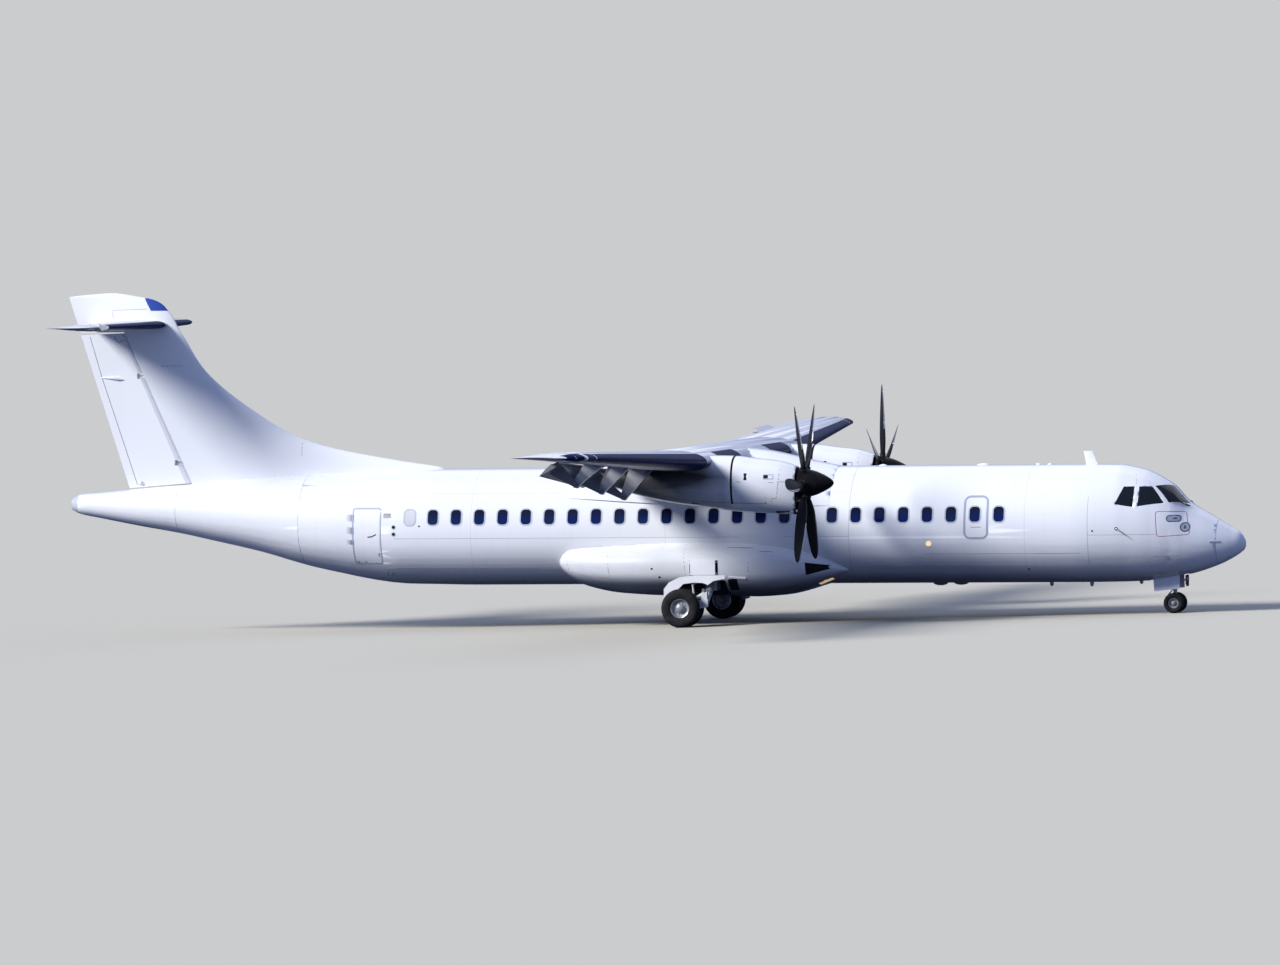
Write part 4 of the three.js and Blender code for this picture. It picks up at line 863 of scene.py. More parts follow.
def rounded(width, height, corner, middle, steps=6):
    """A rounded rectangle's outline round its middle, as stations and heights."""
    places = []
    for i, (a, b) in enumerate(((1, 1), (-1, 1), (-1, -1), (1, -1))):
        for j in range(steps + 1):
            angle = math.pi / 2 * (i + j / steps)
            places.append((middle[0] + a * (width / 2 - corner) + corner * math.cos(angle),
                           middle[1] + b * (height / 2 - corner) + corner * math.sin(angle)))
    return places


def band(shape, places, sign, width, lift=.002, loop=True, on=skin):
    """A raised band along places on the skin: a closed loop, or an open line."""
    rings = []
    count = len(places)
    for i, (s, h) in enumerate(places):
        before = places[i - 1] if loop or i else places[0]
        after = places[(i + 1) % count] if loop or i < count - 1 else places[-1]
        run = Vector((after[0] - before[0], after[1] - before[1])).normalized() * width / 2
        rings.append([on(s + a * run.y, h - a * run.x, sign, z) for a, z in
                      ((1, -.004), (1, lift), (-1, lift), (-1, -.004))])
    shape.loft(rings + [rings[0]] if loop else rings, caps=not loop)


def patch(shape, places, sign, lift=.0015, depth=.004, on=skin):
    """A thin plate on the skin with the given outline."""
    middle = centre_of(places)
    rings = [[on(mix(middle[0], s, share), mix(middle[1], h, share), sign, z) for s, h in places]
             for share, z in ((.02, lift), (.35, lift), (.7, lift), (1, lift), (1, -depth), (.02, -depth))]
    shape.loft(rings)


def dense(corners, step=.08, loop=True):
    """Points along straight lines between corners."""
    places = []
    ends = corners[1:] + corners[:1] if loop else corners[1:]
    for a, b in zip(corners, ends):
        count = max(1, round(math.dist(a, b) / step))
        places += [(mix(a[0], b[0], i / count), mix(a[1], b[1], i / count)) for i in range(count)]
    return places if loop else places + [corners[-1]]


def fillet(corners, radius, steps=5):
    """A closed outline with its corners rounded."""
    places = []
    for i, corner in enumerate(corners):
        c = Vector(corner)
        a, b = (Vector(corners[k]) - c for k in (i - 1, (i + 1) % len(corners)))
        a, b = c + a.normalized() * radius, c + b.normalized() * radius
        for t in (j / steps for j in range(steps + 1)):
            places.append(tuple(a * (1 - t) ** 2 + c * 2 * t * (1 - t) + b * t * t))
    return places


def hoop(shape, form, station, width, start=-90, end=270, lift=.0015, steps=96):
    """A raised band across a form's smooth skin at a station, from one angle up from its side to another."""
    angles = [math.radians(mix(start, end, i / steps)) for i in range(steps + 1)]
    edges = [form.ring(station + ds, angles, grow) for ds, grow in
             ((-width / 2, -.004), (-width / 2, lift), (width / 2, lift), (width / 2, -.004))]
    shape.loft([[row(*edge[i]) for edge in edges] for i in range(steps + 1)], caps=end - start < 360)


def lines(shape, rows, sign, width, on=skin, lift=.0015):
    """Raised lines on a skin, each through its corners."""
    for corners in rows:
        band(shape, dense(corners, .1, loop=False), sign, width, lift, loop=False, on=on)


class Skin:
    """The real surface of a piece or node, to lay lines and patches on."""

    def __init__(self, *objects):
        verts, faces = [], []
        for obj in objects:
            faces += [[len(verts) + i for i in p.vertices] for p in obj.data.polygons]
            verts += [v.co for v in obj.data.vertices]
        self.tree = BVHTree.FromPolygons(verts, faces)

    def meet(self, start, end, lift):
        """The first place on the way from start to end, lifted off the surface."""
        start, way = row(*start), (row(*end) - row(*start)).normalized()
        place, normal, *_ = self.tree.ray_cast(start, way)
        if place is None:
            raise ValueError(f"there is no skin between {start} and {row(*end)}")
        return place + normal * (math.copysign(1, -normal.dot(way)) * lift)

    def side(self, station, height, sign, lift=0):
        """Seen from port (1) or starboard (-1)."""
        return self.meet((station, 9 * sign, height), (station, -9 * sign, height), lift)

    def above(self, station, side, sign, lift=0):
        """Seen from above (1) or below (-1)."""
        return self.meet((station, side, 9 * sign), (station, side, -9 * sign), lift)


def sizes():
    return bpy.context.scene.airliner_sizes


def colour_setting(name, description, default):
    return FloatVectorProperty(name=name, description=description, subtype="COLOR", default=default,
                               min=0, max=1)


def length_setting(name, description, default):
    return FloatProperty(name=name, description=description, default=default, unit="LENGTH")


class AirlinerColours(bpy.types.PropertyGroup):
    """Main colours."""
    white: colour_setting("White", "Gloss paint of the body and wing", (.86, .875, .91))
    grey: colour_setting("Grey", "Satin paint of the flaps and spoilers", (.2, .205, .22))
    # The colour that the body's and nacelles' dirt mask mixes in, which paints shade there as well as dirt.
    grime_and_shade: colour_setting("Grime", "Dirt on the belly", (.2, .2, .21))
    boot: colour_setting("Boots", "De-icing boots on the leading edges", (.006, .014, .075))
    blade: colour_setting("Propellers", "Blades and spinners", (.008, .008, .009))
    glass: colour_setting("Glass", "Flight deck glass", (.008, .01, .015))
    cabin_glass: colour_setting("Cabin glass", "Cabin windows", (.004, .014, .1))
    tyre: colour_setting("Tyres", "Tyre rubber", (.012, .012, .013))
    floor: colour_setting("Floor", "Floor and background", (.597, .604, .617))
    bounce: colour_setting("Floor bounce", "Floor colour for the light it throws back up", (.075, .09, .14))


class AirlinerSizes(bpy.types.PropertyGroup):
    """Sizes of what the skin carries."""
    window_pitch: length_setting("Window pitch", "Distance from one cabin window to the next", .541)
    window_width: length_setting("Window width", "Width of a cabin window's glass", .233)
    window_height: length_setting("Window height", "Height of a cabin window's glass", .33)
    line_width: length_setting("Outline width", "Width of the painted door outlines", .028)
    seam_width: length_setting("Seam width", "Width of the dark seams between panels", .007)
    boot_share: FloatProperty(name="Boot depth", description="Share of the chord that a de-icing boot covers",
                              subtype="FACTOR", default=.1, min=.02, max=.3)


BODY_RINGS = (ring_planes(BODY_FORM, 2.2, BODY_SIDES, high=4.5)
              + ring_planes(BODY_FORM, 10, BODY_SIDES, low=4.5, high=19)
              + ring_planes(BODY_FORM, 20.7, BODY_SIDES, low=19))
# Doors: first and last station, sill and head, and the side of the aircraft
DOORS = {
    "passenger_door": (19.5, 20.25, .48, 2.18, 1), "cargo_door": (3.3, 4.58, .5, 2.03, 1),
    "service_door": (19.54, 20.15, .56, 1.76, -1),
}
EXIT = (5.58, 6.05, 1.07, 1.94)
# Panels that are plugs in the body: piece, node, first station
PANELS = (
    ("exit_panel_port", "emergency_exit_left", EXIT[0]),
    ("exit_panel_starboard", "emergency_exit_right", EXIT[0]),
    ("service_door_panel", "service_door", DOORS["service_door"][0]),
)


class AIRLINER_OT_body(bpy.types.Operator):
    """Smooth skin of the body, its exits and its doors, in place of the flat sided solids"""
    bl_idname = "airliner.body"
    bl_label = "Body"

    def execute(self, context):
        nose = station_planes(np.arange(.66, 3.7, .1))
        tail = station_planes(np.arange(17.95, 21.4, .4))
        fine("body_skin", "fuselage", BODY_FORM.snap, nose + tail + BODY_RINGS, "white", sharp=25,
             inner="lining", inside=BODY_FORM.deep)
        tip = (station_planes([.01, .02, .055, .075, .13, .17, .21, .25, .34, .4, .46, .52])
               + ring_planes(BODY_FORM, .3, BODY_SIDES))
        fine("nose_cone", "radome", BODY_FORM.snap, tip, "white", sharp=25)
        cone = station_planes(np.arange(21.9, 26.9, .4)) + ring_planes(BODY_FORM, 24, BODY_SIDES)
        fine("rear_body", "tail_section", BODY_FORM.snap, cone, "white", sharp=25)
        cap = station_planes([27.03, 27.08, 27.13]) + ring_planes(BODY_FORM, 27.05, BODY_SIDES)
        fine("tail_cap", "tail_cone_cap", BODY_FORM.snap, cap, "frame")
        for name, node, front in PANELS:
            planes = BODY_RINGS + station_planes(np.arange(front + .06, front + .6, .09))
            fine(name, node, BODY_FORM.snap, planes, "white", sharp=25)
        for name in ("passenger_door", "cargo_door"):
            front, back, *_ = DOORS[name]
            planes = BODY_RINGS + station_planes(np.arange(front, back, .15))
            fine(name + "_skin", name, BODY_FORM.snap, planes, "white", body=name,
                 inner="lining", inside=BODY_FORM.deep)
        return {"FINISHED"}


def wall_rib(shape, station, low, high, inset, deep, half):
    """An upright rib to port along the body's curve, from inset under the skin to deep further in."""
    rings = []
    for h in np.linspace(low, high, 9):
        side = float(BODY_FORM.side_at(station, h)) - inset
        rings.append([row(station + ds, y, h) for ds, y in
                      ((-half, side), (half, side), (half, side - deep), (-half, side - deep))])
    shape.loft(rings)


# Stair of the passenger door: treads, and their depth and thickness
TREADS, TREAD_DEPTH, TREAD_THICK = 6, .17, .025
# Route of its hand rails: over the sill or under the head, and how far under the skin
RAIL_LOW, RAIL_HIGH = ((.3, .1), (.34, .26)), ((.5, .3), (.32, .11))
# Inner side of the entrances' floors, and how far under the skin the ribs on the doors start
FLOOR_SIDE, RIB_INSET = .46, .092
# Handles of the doors: the door, and each handle's station and height
HANDLES = (("passenger_door", ((19.62, 1.3), (19.62, .75))), ("cargo_door", ((3.95, .62),)))


class AIRLINER_OT_entrances(bpy.types.Operator):
    """Stair treads and rails on the passenger door, frames on the cargo door, and the floors behind both"""
    bl_idname = "airliner.entrances"
    bl_label = "Entrances"

    def execute(self, context):
        front, back, sill, head, _ = DOORS["passenger_door"]
        treads, rails, frames, floors, ribs = (Shape() for _ in range(5))
        for h in np.linspace(sill + .22, head - .3, TREADS):
            side = float(BODY_FORM.side_at(front, h)) - .105
            treads.block((front + .09, side - TREAD_DEPTH, h), (back - .09, side, h + TREAD_THICK))
        for station in (front + .07, back - .07):
            wall_rib(frames, station, sill + .08, head - .1, RIB_INSET, .045, .018)
            route = [(sill + up, inset) for up, inset in RAIL_LOW]
            route += [(head - down, inset) for down, inset in RAIL_HIGH]
            rails.tube([row(station, float(BODY_FORM.side_at(station, h)) - inset, h)
                        for h, inset in route], .014)
        frames.make("stair_sides", "metal", "passenger_door", "grey_paint", sharp=40)
        treads.make("stair_treads", "hose", "passenger_door", "grey_paint", bevel=.004)
        rails.make("stair_rails", "metal", "passenger_door", "grey_paint", sharp=40)
        floors.block((front + .01, FLOOR_SIDE, sill + .002), (back - .01, 1.25, sill + .008))
        front, back, sill, head, _ = DOORS["cargo_door"]
        for station in np.linspace(front + .12, back - .12, 5):
            wall_rib(ribs, station, sill + .1, head - .1, RIB_INSET, .05, .02)
        for h in (sill + .28, head - .45):
            side = float(BODY_FORM.side_at(3.9, h)) - .1
            ribs.block((front + .12, side - .045, h), (back - .12, side, h + .035))
        ribs.make("cargo_door_frames", "frame", "cargo_door", "grey_paint", bevel=.004)
        floors.block((front + .01, FLOOR_SIDE, sill + .002), (back - .01, 1.28, sill + .008))
        # The floors behind the entrances are near black: painted shade.
        floors.make("entrance_floors", "bay", slot="grey_paint")
        for name, spots in HANDLES:
            handle = Shape()
            for s, h in spots:
                patch(handle, rounded(.17, .075, .02, (s, h), 3), 1, .004)
                handle.tube([skin(s - .06, h, 1, .008), skin(s + .06, h, 1, .008)], .01)
            handle.make(f"{name}_handles", "metal", name, "grey_paint", sharp=40)
        return {"FINISHED"}


# Wiper blade along the foot of a windshield, as stations and heights
WIPER = [(1.25, 1.755), (1.35, 1.775), (1.45, 1.785), (1.55, 1.795)]


class AIRLINER_OT_flight_deck(bpy.types.Operator):
    """Dark panes of the flight deck, with their wipers"""
    bl_idname = "airliner.flight_deck"
    bl_label = "Flight deck"

    def execute(self, context):
        rings = ring_planes(BODY_FORM, 1.9, BODY_SIDES) + station_planes(np.arange(1.2, 2.8, .1))
        for name in ("windshield", "side_window", "rear_window"):
            for side in ("left", "right"):
                fine(f"{name}_pane_{side}", f"{name}_{side}", BODY_FORM.snap, rings, "glass")
        wipers = Shape()
        for sign in (1, -1):
            wipers.tube([skin(s, h, sign, .022) for s, h in WIPER], .01)
            wipers.tube([skin(1.4, 1.78, sign, .03), skin(1.3, 1.72, sign, .035), skin(1.2, 1.7, sign)],
                        [.008, .012, .016])
        wipers.make("wipers", "hose", slot="blade_black", sharp=50)
        return {"FINISHED"}


class AIRLINER_OT_cabin_windows(bpy.types.Operator):
    """Row of cabin windows along both sides"""
    bl_idname = "airliner.cabin_windows"
    bl_label = "Cabin windows"

    def execute(self, context):
        wide, high = sizes().window_width, sizes().window_height
        panes, rims, blanks = Shape(), Shape(), Shape()
        for sign in (-1, 1):
            for i in range(WINDOWS):
                middle = (FIRST_WINDOW + sizes().window_pitch * i, WINDOW_MIDDLE)
                outline = dense(rounded(wide, high, .085, middle), .03)
                patch(blanks if i == WINDOWS - 1 else panes, outline, sign)
                band(rims, dense(rounded(wide + .03, high + .03, .1, middle), .03), sign, .03, .004)
        panes.make("cabin_panes", "cabin glass", slot="glass", sharp=50)
        blanks.make("blanked_windows", "blank", sharp=50)
        rims.make("cabin_window_rims", "frame", slot="grey_paint", sharp=50)
        return {"FINISHED"}


# Hatch on the starboard side of the nose, and its two ports: corners; middle, width, height, corner radius
HATCH = [(1.848, 1.6), (1.222, 1.583), (1.116, 1.082), (1.803, 1.044)]
NOSE_PORTS = (((1.46, 1.44), .29, .13, .06), ((1.22, 1.245), .19, .19, .09))
# Seams of the body, as corners of station and height
BODY_SEAMS = [
    [(3.31, 1.95), (3.31, .45)], [(1.83, 1.1), (3.3, 1.1)], [(3.49, .7), (6.99, .7)],
    [(8.7, 1.1), (10.2, 1.1)], [(11.2, 1.1), (19.2, 1.1)], [(15.9, .42), (19.4, .42)],
    [(4.75, .42), (8.6, .42)], [(2.36, 2.5), (2.3, 2.2)], [(.35, 1.25), (.37, 1.05)],
    [(.3, .57), (.42, .52)], [(1.35, .62), (1.9, .6)],
]


def opening(front, back, sill, head, corner, steps):
    """Outline round a door or exit, just outside its gap."""
    middle = ((front + back) / 2, (sill + head) / 2)
    return rounded(back - front + .05, head - sill + .05, corner, middle, steps)


class AIRLINER_OT_skin_lines(bpy.types.Operator):
    """Outlines round doors, exits and the nose hatch, seams between panels, ports and marks"""
    bl_idname = "airliner.skin_lines"
    bl_label = "Skin lines"

    def execute(self, context):
        width, seam = sizes().line_width, sizes().seam_width
        outlines, seams, hatch, holes, ports, rings = (Shape() for _ in range(6))
        for *edges, sign in DOORS.values():
            band(outlines, dense(opening(*edges, .06, 3)), sign, width)
        for sign in (1, -1):
            band(outlines, dense(opening(*EXIT, .13, 5), .05), sign, width * 1.6)
            lines(hatch, [[(5.7, 1.29), (5.93, 1.29)]], sign, .012)
            lines(seams, BODY_SEAMS, sign, seam)
        band(hatch, dense(fillet(HATCH, .07), .05), -1, .011)
        for middle, wide, high, corner in NOSE_PORTS:
            outline = rounded(wide, high, corner, middle)
            band(rings, outline, -1, .02, .004)
            patch(outlines, outline, -1, .002)
        patch(rings, rounded(.045, .07, .02, (1.22, 1.245)), -1, .004)
        patch(rings, rounded(.08, .035, .017, (1.43, 1.44)), -1, .004)
        for s, h in ((3.2, 1.19), (4.69, .34), (18.6, 1.38)):
            patch(holes, rounded(.04, .04, .019, (s, h)), -1)
        lines(ports, [[(.5, .91), (.72, .91)]], -1, .03, lift=.012)
        # Ahead of the service door a grid and two valves, and on the door its handle
        patch(ports, rounded(.2, .11, .02, (19.36, 1.62)), -1)
        lines(holes, [[(19.28, h), (19.44, h)] for h in (1.65, 1.62, 1.59)], -1, .008, lift=.003)
        for h in (1.36, 1.2):
            patch(holes, rounded(.07, .07, .034, (19.2, h)), -1)
            band(ports, rounded(.09, .09, .044, (19.2, h)), -1, .014, .003)
        lines(holes, [[(19.62, 1.2), (19.72, 1.15), (19.82, 1.14)]], -1, .022, lift=.004)
        lines(holes, [[(26.85, 1.64), (24.6, 1.235)]], -1, .03)
        for station in (.585, 8.7, 21.5, 24.53):
            hoop(seams, BODY_FORM, station, seam)
        for shape, name, finish in (
            (outlines, "door_outlines", "outline"), (hatch, "nose_hatch_outline", "red line"),
            (ports, "port_rims", "frame"), (rings, "nose_port_rings", "seam"),
            (holes, "skin_vents", "dark"), (seams, "skin_seams", "faint seam"),
        ):
            shape.make(name, finish, slot="grey_paint", sharp=50)
        lamp = Shape()
        for sign in (-1, 1):
            patch(lamp, rounded(.13, .11, .054, (6.89, .93)), sign, .006)
        lamp.make("wing_inspection_lights", "warm lamp", slot="glass", sharp=50)
        return {"FINISHED"}


def boot(shape, foil, sign, inner, outer, share, spans=12, swell=.004):
    """A rubber boot round a leading edge, from one side distance to another."""
    wrap = [(share * (1 - i / 8) ** 2, 1) for i in range(9)]
    wrap += [(share * (i / 8) ** 2, -1) for i in range(1, 9)]
    rings = []
    for i in range(spans + 1):
        side = sign * mix(inner, outer, i / spans)
        out = [row(*foil.point(side, s, face, swell if s < share * .99 else .0005)) for s, face in wrap]
        back = [row(*foil.point(side, s, face, -.006)) for s, face in wrap[::-1] if s > .0005]
        rings.append(out + back)
    shape.loft(rings)


# Balance horn of an aileron: side, share cut off the front, thickness
HORN = np.array([(13.095, .03, 1), (13.35, .1, .85), (13.48, .22, .5), (HALF_SPAN, .36, .12)])


def horn_at(side):
    """Leading edge, chord, thickness, height and camber of an aileron's balance horn."""
    lead, chord, thick, height, camber = wing_at(side)
    front, thin = (np.interp(np.abs(side), HORN[:, 0], HORN[:, i]) for i in (1, 2))
    return lead + front * chord, chord * (1 - front), thick * thin, height, camber


# Boots of the wing: from and to, out from the middle, and steps on the way
WING_BOOTS = ((1.5, 3.5, 8), (4.82, 12.44, 40), (12.54, TIP_RIB - .02, 4))
# Vortex generators on each wing: how many, side of the first, distance to the next
GENERATORS, FIRST_GENERATOR, GENERATOR_PITCH = 22, 9.3, .165


def within_cove(p):
    """Whether places lie in the hollow under the wing's rear skin."""
    station, side, height = p.T
    lead, chord, *_ = wing_at(side)
    share = (station - lead) / chord
    top, bottom = (WING.height(side, np.clip(share, 0, 1), surface) for surface in (1, -1))
    return (share > .6) & (height < top - .015) & (height > bottom + .004)


class AIRLINER_OT_wing(bpy.types.Operator):
    """Smooth wing with its de-icing boots and vortex generators, and the finishes of its moving surfaces"""
    bl_idname = "airliner.wing"
    bl_label = "Wing"

    def execute(self, context):
        # The faces in the hollow under the wing's rear skin, on the middle and outer wings, take near black:
        # painted shade.
        fine("wing_middle", "wing_center", WING.snap, both_chord_planes(wing_at, KINK, FINE_STEPS), "wing",
             inner="cove", inside=within_cove)
        for name, sign in SIDES:
            planes = chord_planes(wing_at, KINK, TIP_RIB, FINE_STEPS, sign)
            fine(f"outer_wing_{name}", f"wing_{name}", WING.snap, planes, "wing",
                 inner="cove", inside=within_cove)
        shape, plates = Shape(), Shape()
        share = sizes().boot_share
        horn = Foil(horn_at, *HORN[:, 0])
        rise = Vector((0, 0, .028))
        for name, sign in SIDES:
            for inner, outer, spans in WING_BOOTS:
                boot(shape, WING, sign, inner, outer, share, spans)
            for i in range(GENERATORS):
                side = sign * (FIRST_GENERATOR + GENERATOR_PITCH * i)
                front, back = (Vector(WING.point(side + turn, share + behind, 1))
                               for behind, turn in ((.02, .012), (.05, -.012)))
                corners = (front - rise, back - rise, back + rise)
                plates.loft([[row(*(p + Vector((0, y, 0)))) for p in corners] for y in (-.004, .004)])
            tip = Shape()
            boot(tip, horn, sign, 13.12, 13.47, .14, 8, .003)
            tip.make(f"horn_boot_{name}", "boot", f"aileron_{name}", "blade_black", sharp=60)
        shape.make("wing_boots", "boot", slot="blade_black", sharp=60)
        plates.make("vortex_generators", "frame", slot="grey_paint", sharp=50)
        dressed("wing", "aileron_left", "aileron_right", "spoiler_left", "spoiler_right")
        dressed("flap", "flap_inner_left", "flap_inner_right", "flap_outer_left", "flap_outer_right")
        return {"FINISHED"}


# Leading edge of the fin: height, station
FIN = [
    (2.2, 18.25), (2.63, 18.34), (2.81, 19.35), (2.97, 20.25), (3.08, 20.81), (3.23, 21.38), (3.53, 22.1),
    (3.98, 22.82), (4.5, 23.53), (4.97, 24.01), (5.72, 24.48), (5.85, 24.565),
]
# Fin's cap: height, first and last station, half width; and the share of that along its chord
FIN_CAP = [
    (5.8, 24.54, 26.91, .09), (6.1, 24.69, 27.01, .085), (6.3, 24.84, 27.075, .074),
    (6.42, 24.95, 27.11, .064), (6.55, 25.22, 27.15, .048), (6.61, 25.55, 27.17, .036),
    (6.66, 25.83, 26.7, .02), (6.69, 26.04, 26.25, .006),
]
CAP_SHAPE = [(0, 0), (.04, .45), (.14, .8), (.36, 1), (.7, .72), (1, .04)]
# Heights of the fin tip's boot, and the stations where it ends there
TIP_BOOT = [(6.28, 25.21), (6.57, 25.37)]
RUDDER_CLEAR = .008
# Shares of the fin's chord for its rings, closer together at the leading edge
FIN_SHARES = [(i / 28) ** 1.8 for i in range(29)]


def rudder_hinge(height):
    """Station of the rudder's hinge line."""
    return 24.7 + (height - 2.97) * .4377


def mirrored(sides, height):
    """A closed ring from stations with half widths."""
    return [row(s, y, height) for s, y in sides] + [row(s, -y, height) for s, y in sides[:0:-1]]


def fin_ring(height):
    """Ring of the fin: rounded in front, and flat sided further back, as thick as the rudder's front edge."""
    lead = float(curve(*zip(*FIN), height))
    nose = mix(.15, .085, (height - 2.2) / 3.575)
    back = rudder_hinge(height) - nose - RUDDER_CLEAR
    sides = [(mix(lead, back, s), nose * math.sqrt(1 - (1 - min(s / .4, 1)) ** 2)) for s in FIN_SHARES]
    return mirrored(sides, height)


def cap_size(height):
    """First and last station of the fin's cap at a height, and its greatest half width."""
    rows = np.array(FIN_CAP)
    return (float(curve(rows[:, 0], rows[:, i], height)) for i in (1, 2, 3))


def cap_half(thick, share):
    """Half width of the fin's cap at a share of its chord."""
    shares, widths = zip(*CAP_SHAPE)
    return thick * float(curve(np.sqrt(shares), widths, math.sqrt(share)))


def cap_ring(height):
    """Ring of the fin's cap."""
    lead, back, thick = cap_size(height)
    return mirrored([(mix(lead, back, s), cap_half(thick, s)) for s in FIN_SHARES], height)


def tip_boot_ring(height, steps=8, swell=.004, depth=.006):
    """Ring of the boot round the cap's leading edge: over the skin, and back under it."""
    lead, back, thick = cap_size(height)
    (low, low_end), (high, high_end) = TIP_BOOT
    end = mix(low_end, high_end, (height - low) / (high - low)) - lead
    out, under = [], []
    for i in range(-steps, steps + 1):
        share = max(end / (back - lead), .012) * (i / steps) ** 2
        half = cap_half(thick, share)
        side = (i > 0) - (i < 0)
        lift = swell if abs(i) < steps else 0
        front = lift * (1 - abs(i) / steps)
        out.append(row(mix(lead, back, share) - front, side * (half + lift), height))
        under.append(row(mix(lead, back, share) + depth, side * max(half - depth, .001), height))
    return out + under[::-1]


# Lines on the rudder: the step at the head of its front edge, and its tab
RUDDER_LINES = [
    [(26.09, 5.7), (25.99, 5.55), (25.87, 5.62)], [(26.68, 5.7), (26.41, 4.76), (25.61, 2.32)],
]
# Lines on the fin: a joint near its front, and the outline of its cap's panel
FIN_LINES = [[(21.67, 2.95), (21.67, 3.33)], [(26.1, 6.1), (26.14, 6.3), (25.3, 6.32)]]


# Hinge horns on the rudder: stations and heights of their front, middle and end; and their half widths
RUDDER_HORNS = (
    [(25.88, 4.715), (26.02, 4.75), (26.42, 4.765)], [(25.44, 2.33), (25.51, 2.36), (25.6, 2.33)],
)
HORN_HALVES = (.012, .045, .01)


class AIRLINER_OT_tail(bpy.types.Operator):
    """Smooth fin and tailplane with their boots, rudder lines and horns, and the finishes of the elevators"""
    bl_idname = "airliner.tail"
    bl_label = "Tail"

    def execute(self, context):
        shape = Shape()
        shape.loft([fin_ring(h) for h in (2.3, 2.45, *np.linspace(2.56, 5.85, 56))])
        heights = (*np.linspace(5.8, 6.3, 8), *np.linspace(6.34, 6.66, 17), 6.675, 6.685, 6.69)
        shape.loft([cap_ring(h) for h in heights])
        for share in (.1, .74):
            h = 2.5 + 3.1 * share
            hinge = rudder_hinge(h)
            shape.block((hinge - .19, -.024, h - .024), (hinge + .02, .024, h + .024))
        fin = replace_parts(shape.make("fin_skin", "white"), "fin")
        shares = [s for s in FINE_STEPS if s < .62]
        planes = both_chord_planes(tailplane_at, TAIL_RIB, shares)
        fine("tailplane_skin", "tailplane", TAILPLANE.snap, planes, "wing")
        boots = Shape()
        for sign in (1, -1):
            boot(boots, TAILPLANE, sign, .16, TAIL_RIB - .02, .1, 16)
        boots.make("tailplane_boots", "boot", slot="blade_black", sharp=60)
        fin_side, rudder_side = Skin(fin), Skin(frame["nodes"]["rudder"])
        seams, tip, rudder_lines, horns, rivets = (Shape() for _ in range(5))
        for sign in (1, -1):
            lines(seams, FIN_LINES, sign, .007, fin_side.side)
            lines(rudder_lines, RUDDER_LINES, sign, .012, rudder_side.side)
            for i in range(8):
                rivet = rounded(.022, .022, .01, (24.5 + .065 * i, 5.02), 2)
                patch(rivets, rivet, sign, .002, on=fin_side.side)
            for places in RUDDER_HORNS:
                rings = []
                for (s, h), size in zip(places, HORN_HALVES):
                    base = rudder_side.side(s, h, sign)
                    bulge = [(.6 + .6 * math.cos(t), math.sin(t)) for t in round_angles(12)]
                    rings.append([base + Vector((0, sign * size * y, size * z)) for y, z in bulge])
                horns.loft(rings)
        seams.make("fin_seams", "seam", slot="grey_paint", sharp=50)
        tip.loft([tip_boot_ring(h) for h in np.linspace(TIP_BOOT[0][0], TIP_BOOT[1][0], 10)])
        tip.make("fin_tip_boot", "tip boot", slot="blade_black", sharp=50)
        rivets.make("fin_rivets", "seam", slot="grey_paint", sharp=50)
        rudder_lines.make("rudder_lines", "seam", "rudder", "grey_paint", sharp=50)
        horns.make("rudder_horns", "white", "rudder", sharp=40)
        dressed("white", "rudder")
        dressed("wing", "elevator_left", "elevator_right")
        return {"FINISHED"}


# Lines on each side of a nacelle: cowl split, level split, bottom seam, chin corner, marks
NACELLE_LINES = [
    [(9.55, 2.8), (9.63, 2.08)], [(9.27, 2.43), (9.61, 2.43)], [(11.34, 2), (9.85, 1.95)],
    [(9.63, 2.08), (9.74, 2.06), (9.74, 1.96)], [(11.34, 2.3), (11.34, 2)], [(10.42, 2.44), (10.53, 2.44)],
    [(9.7, 2.42), (9.8, 2.42)],
]


# Mouth of an intake: station and height of its middle
INTAKE = (9.27, 1.862)


def lip_ring(middle, side, height):
    """Section of the lip round an intake's mouth, at a place on the mouth's outline."""
    return [row(INTAKE[0] - .035 * math.cos(t), middle + (side - middle) * (1 + .09 * math.sin(t)),
                INTAKE[1] + (height - INTAKE[1]) * (1 + .2 * math.sin(t))) for t in round_angles(12)]


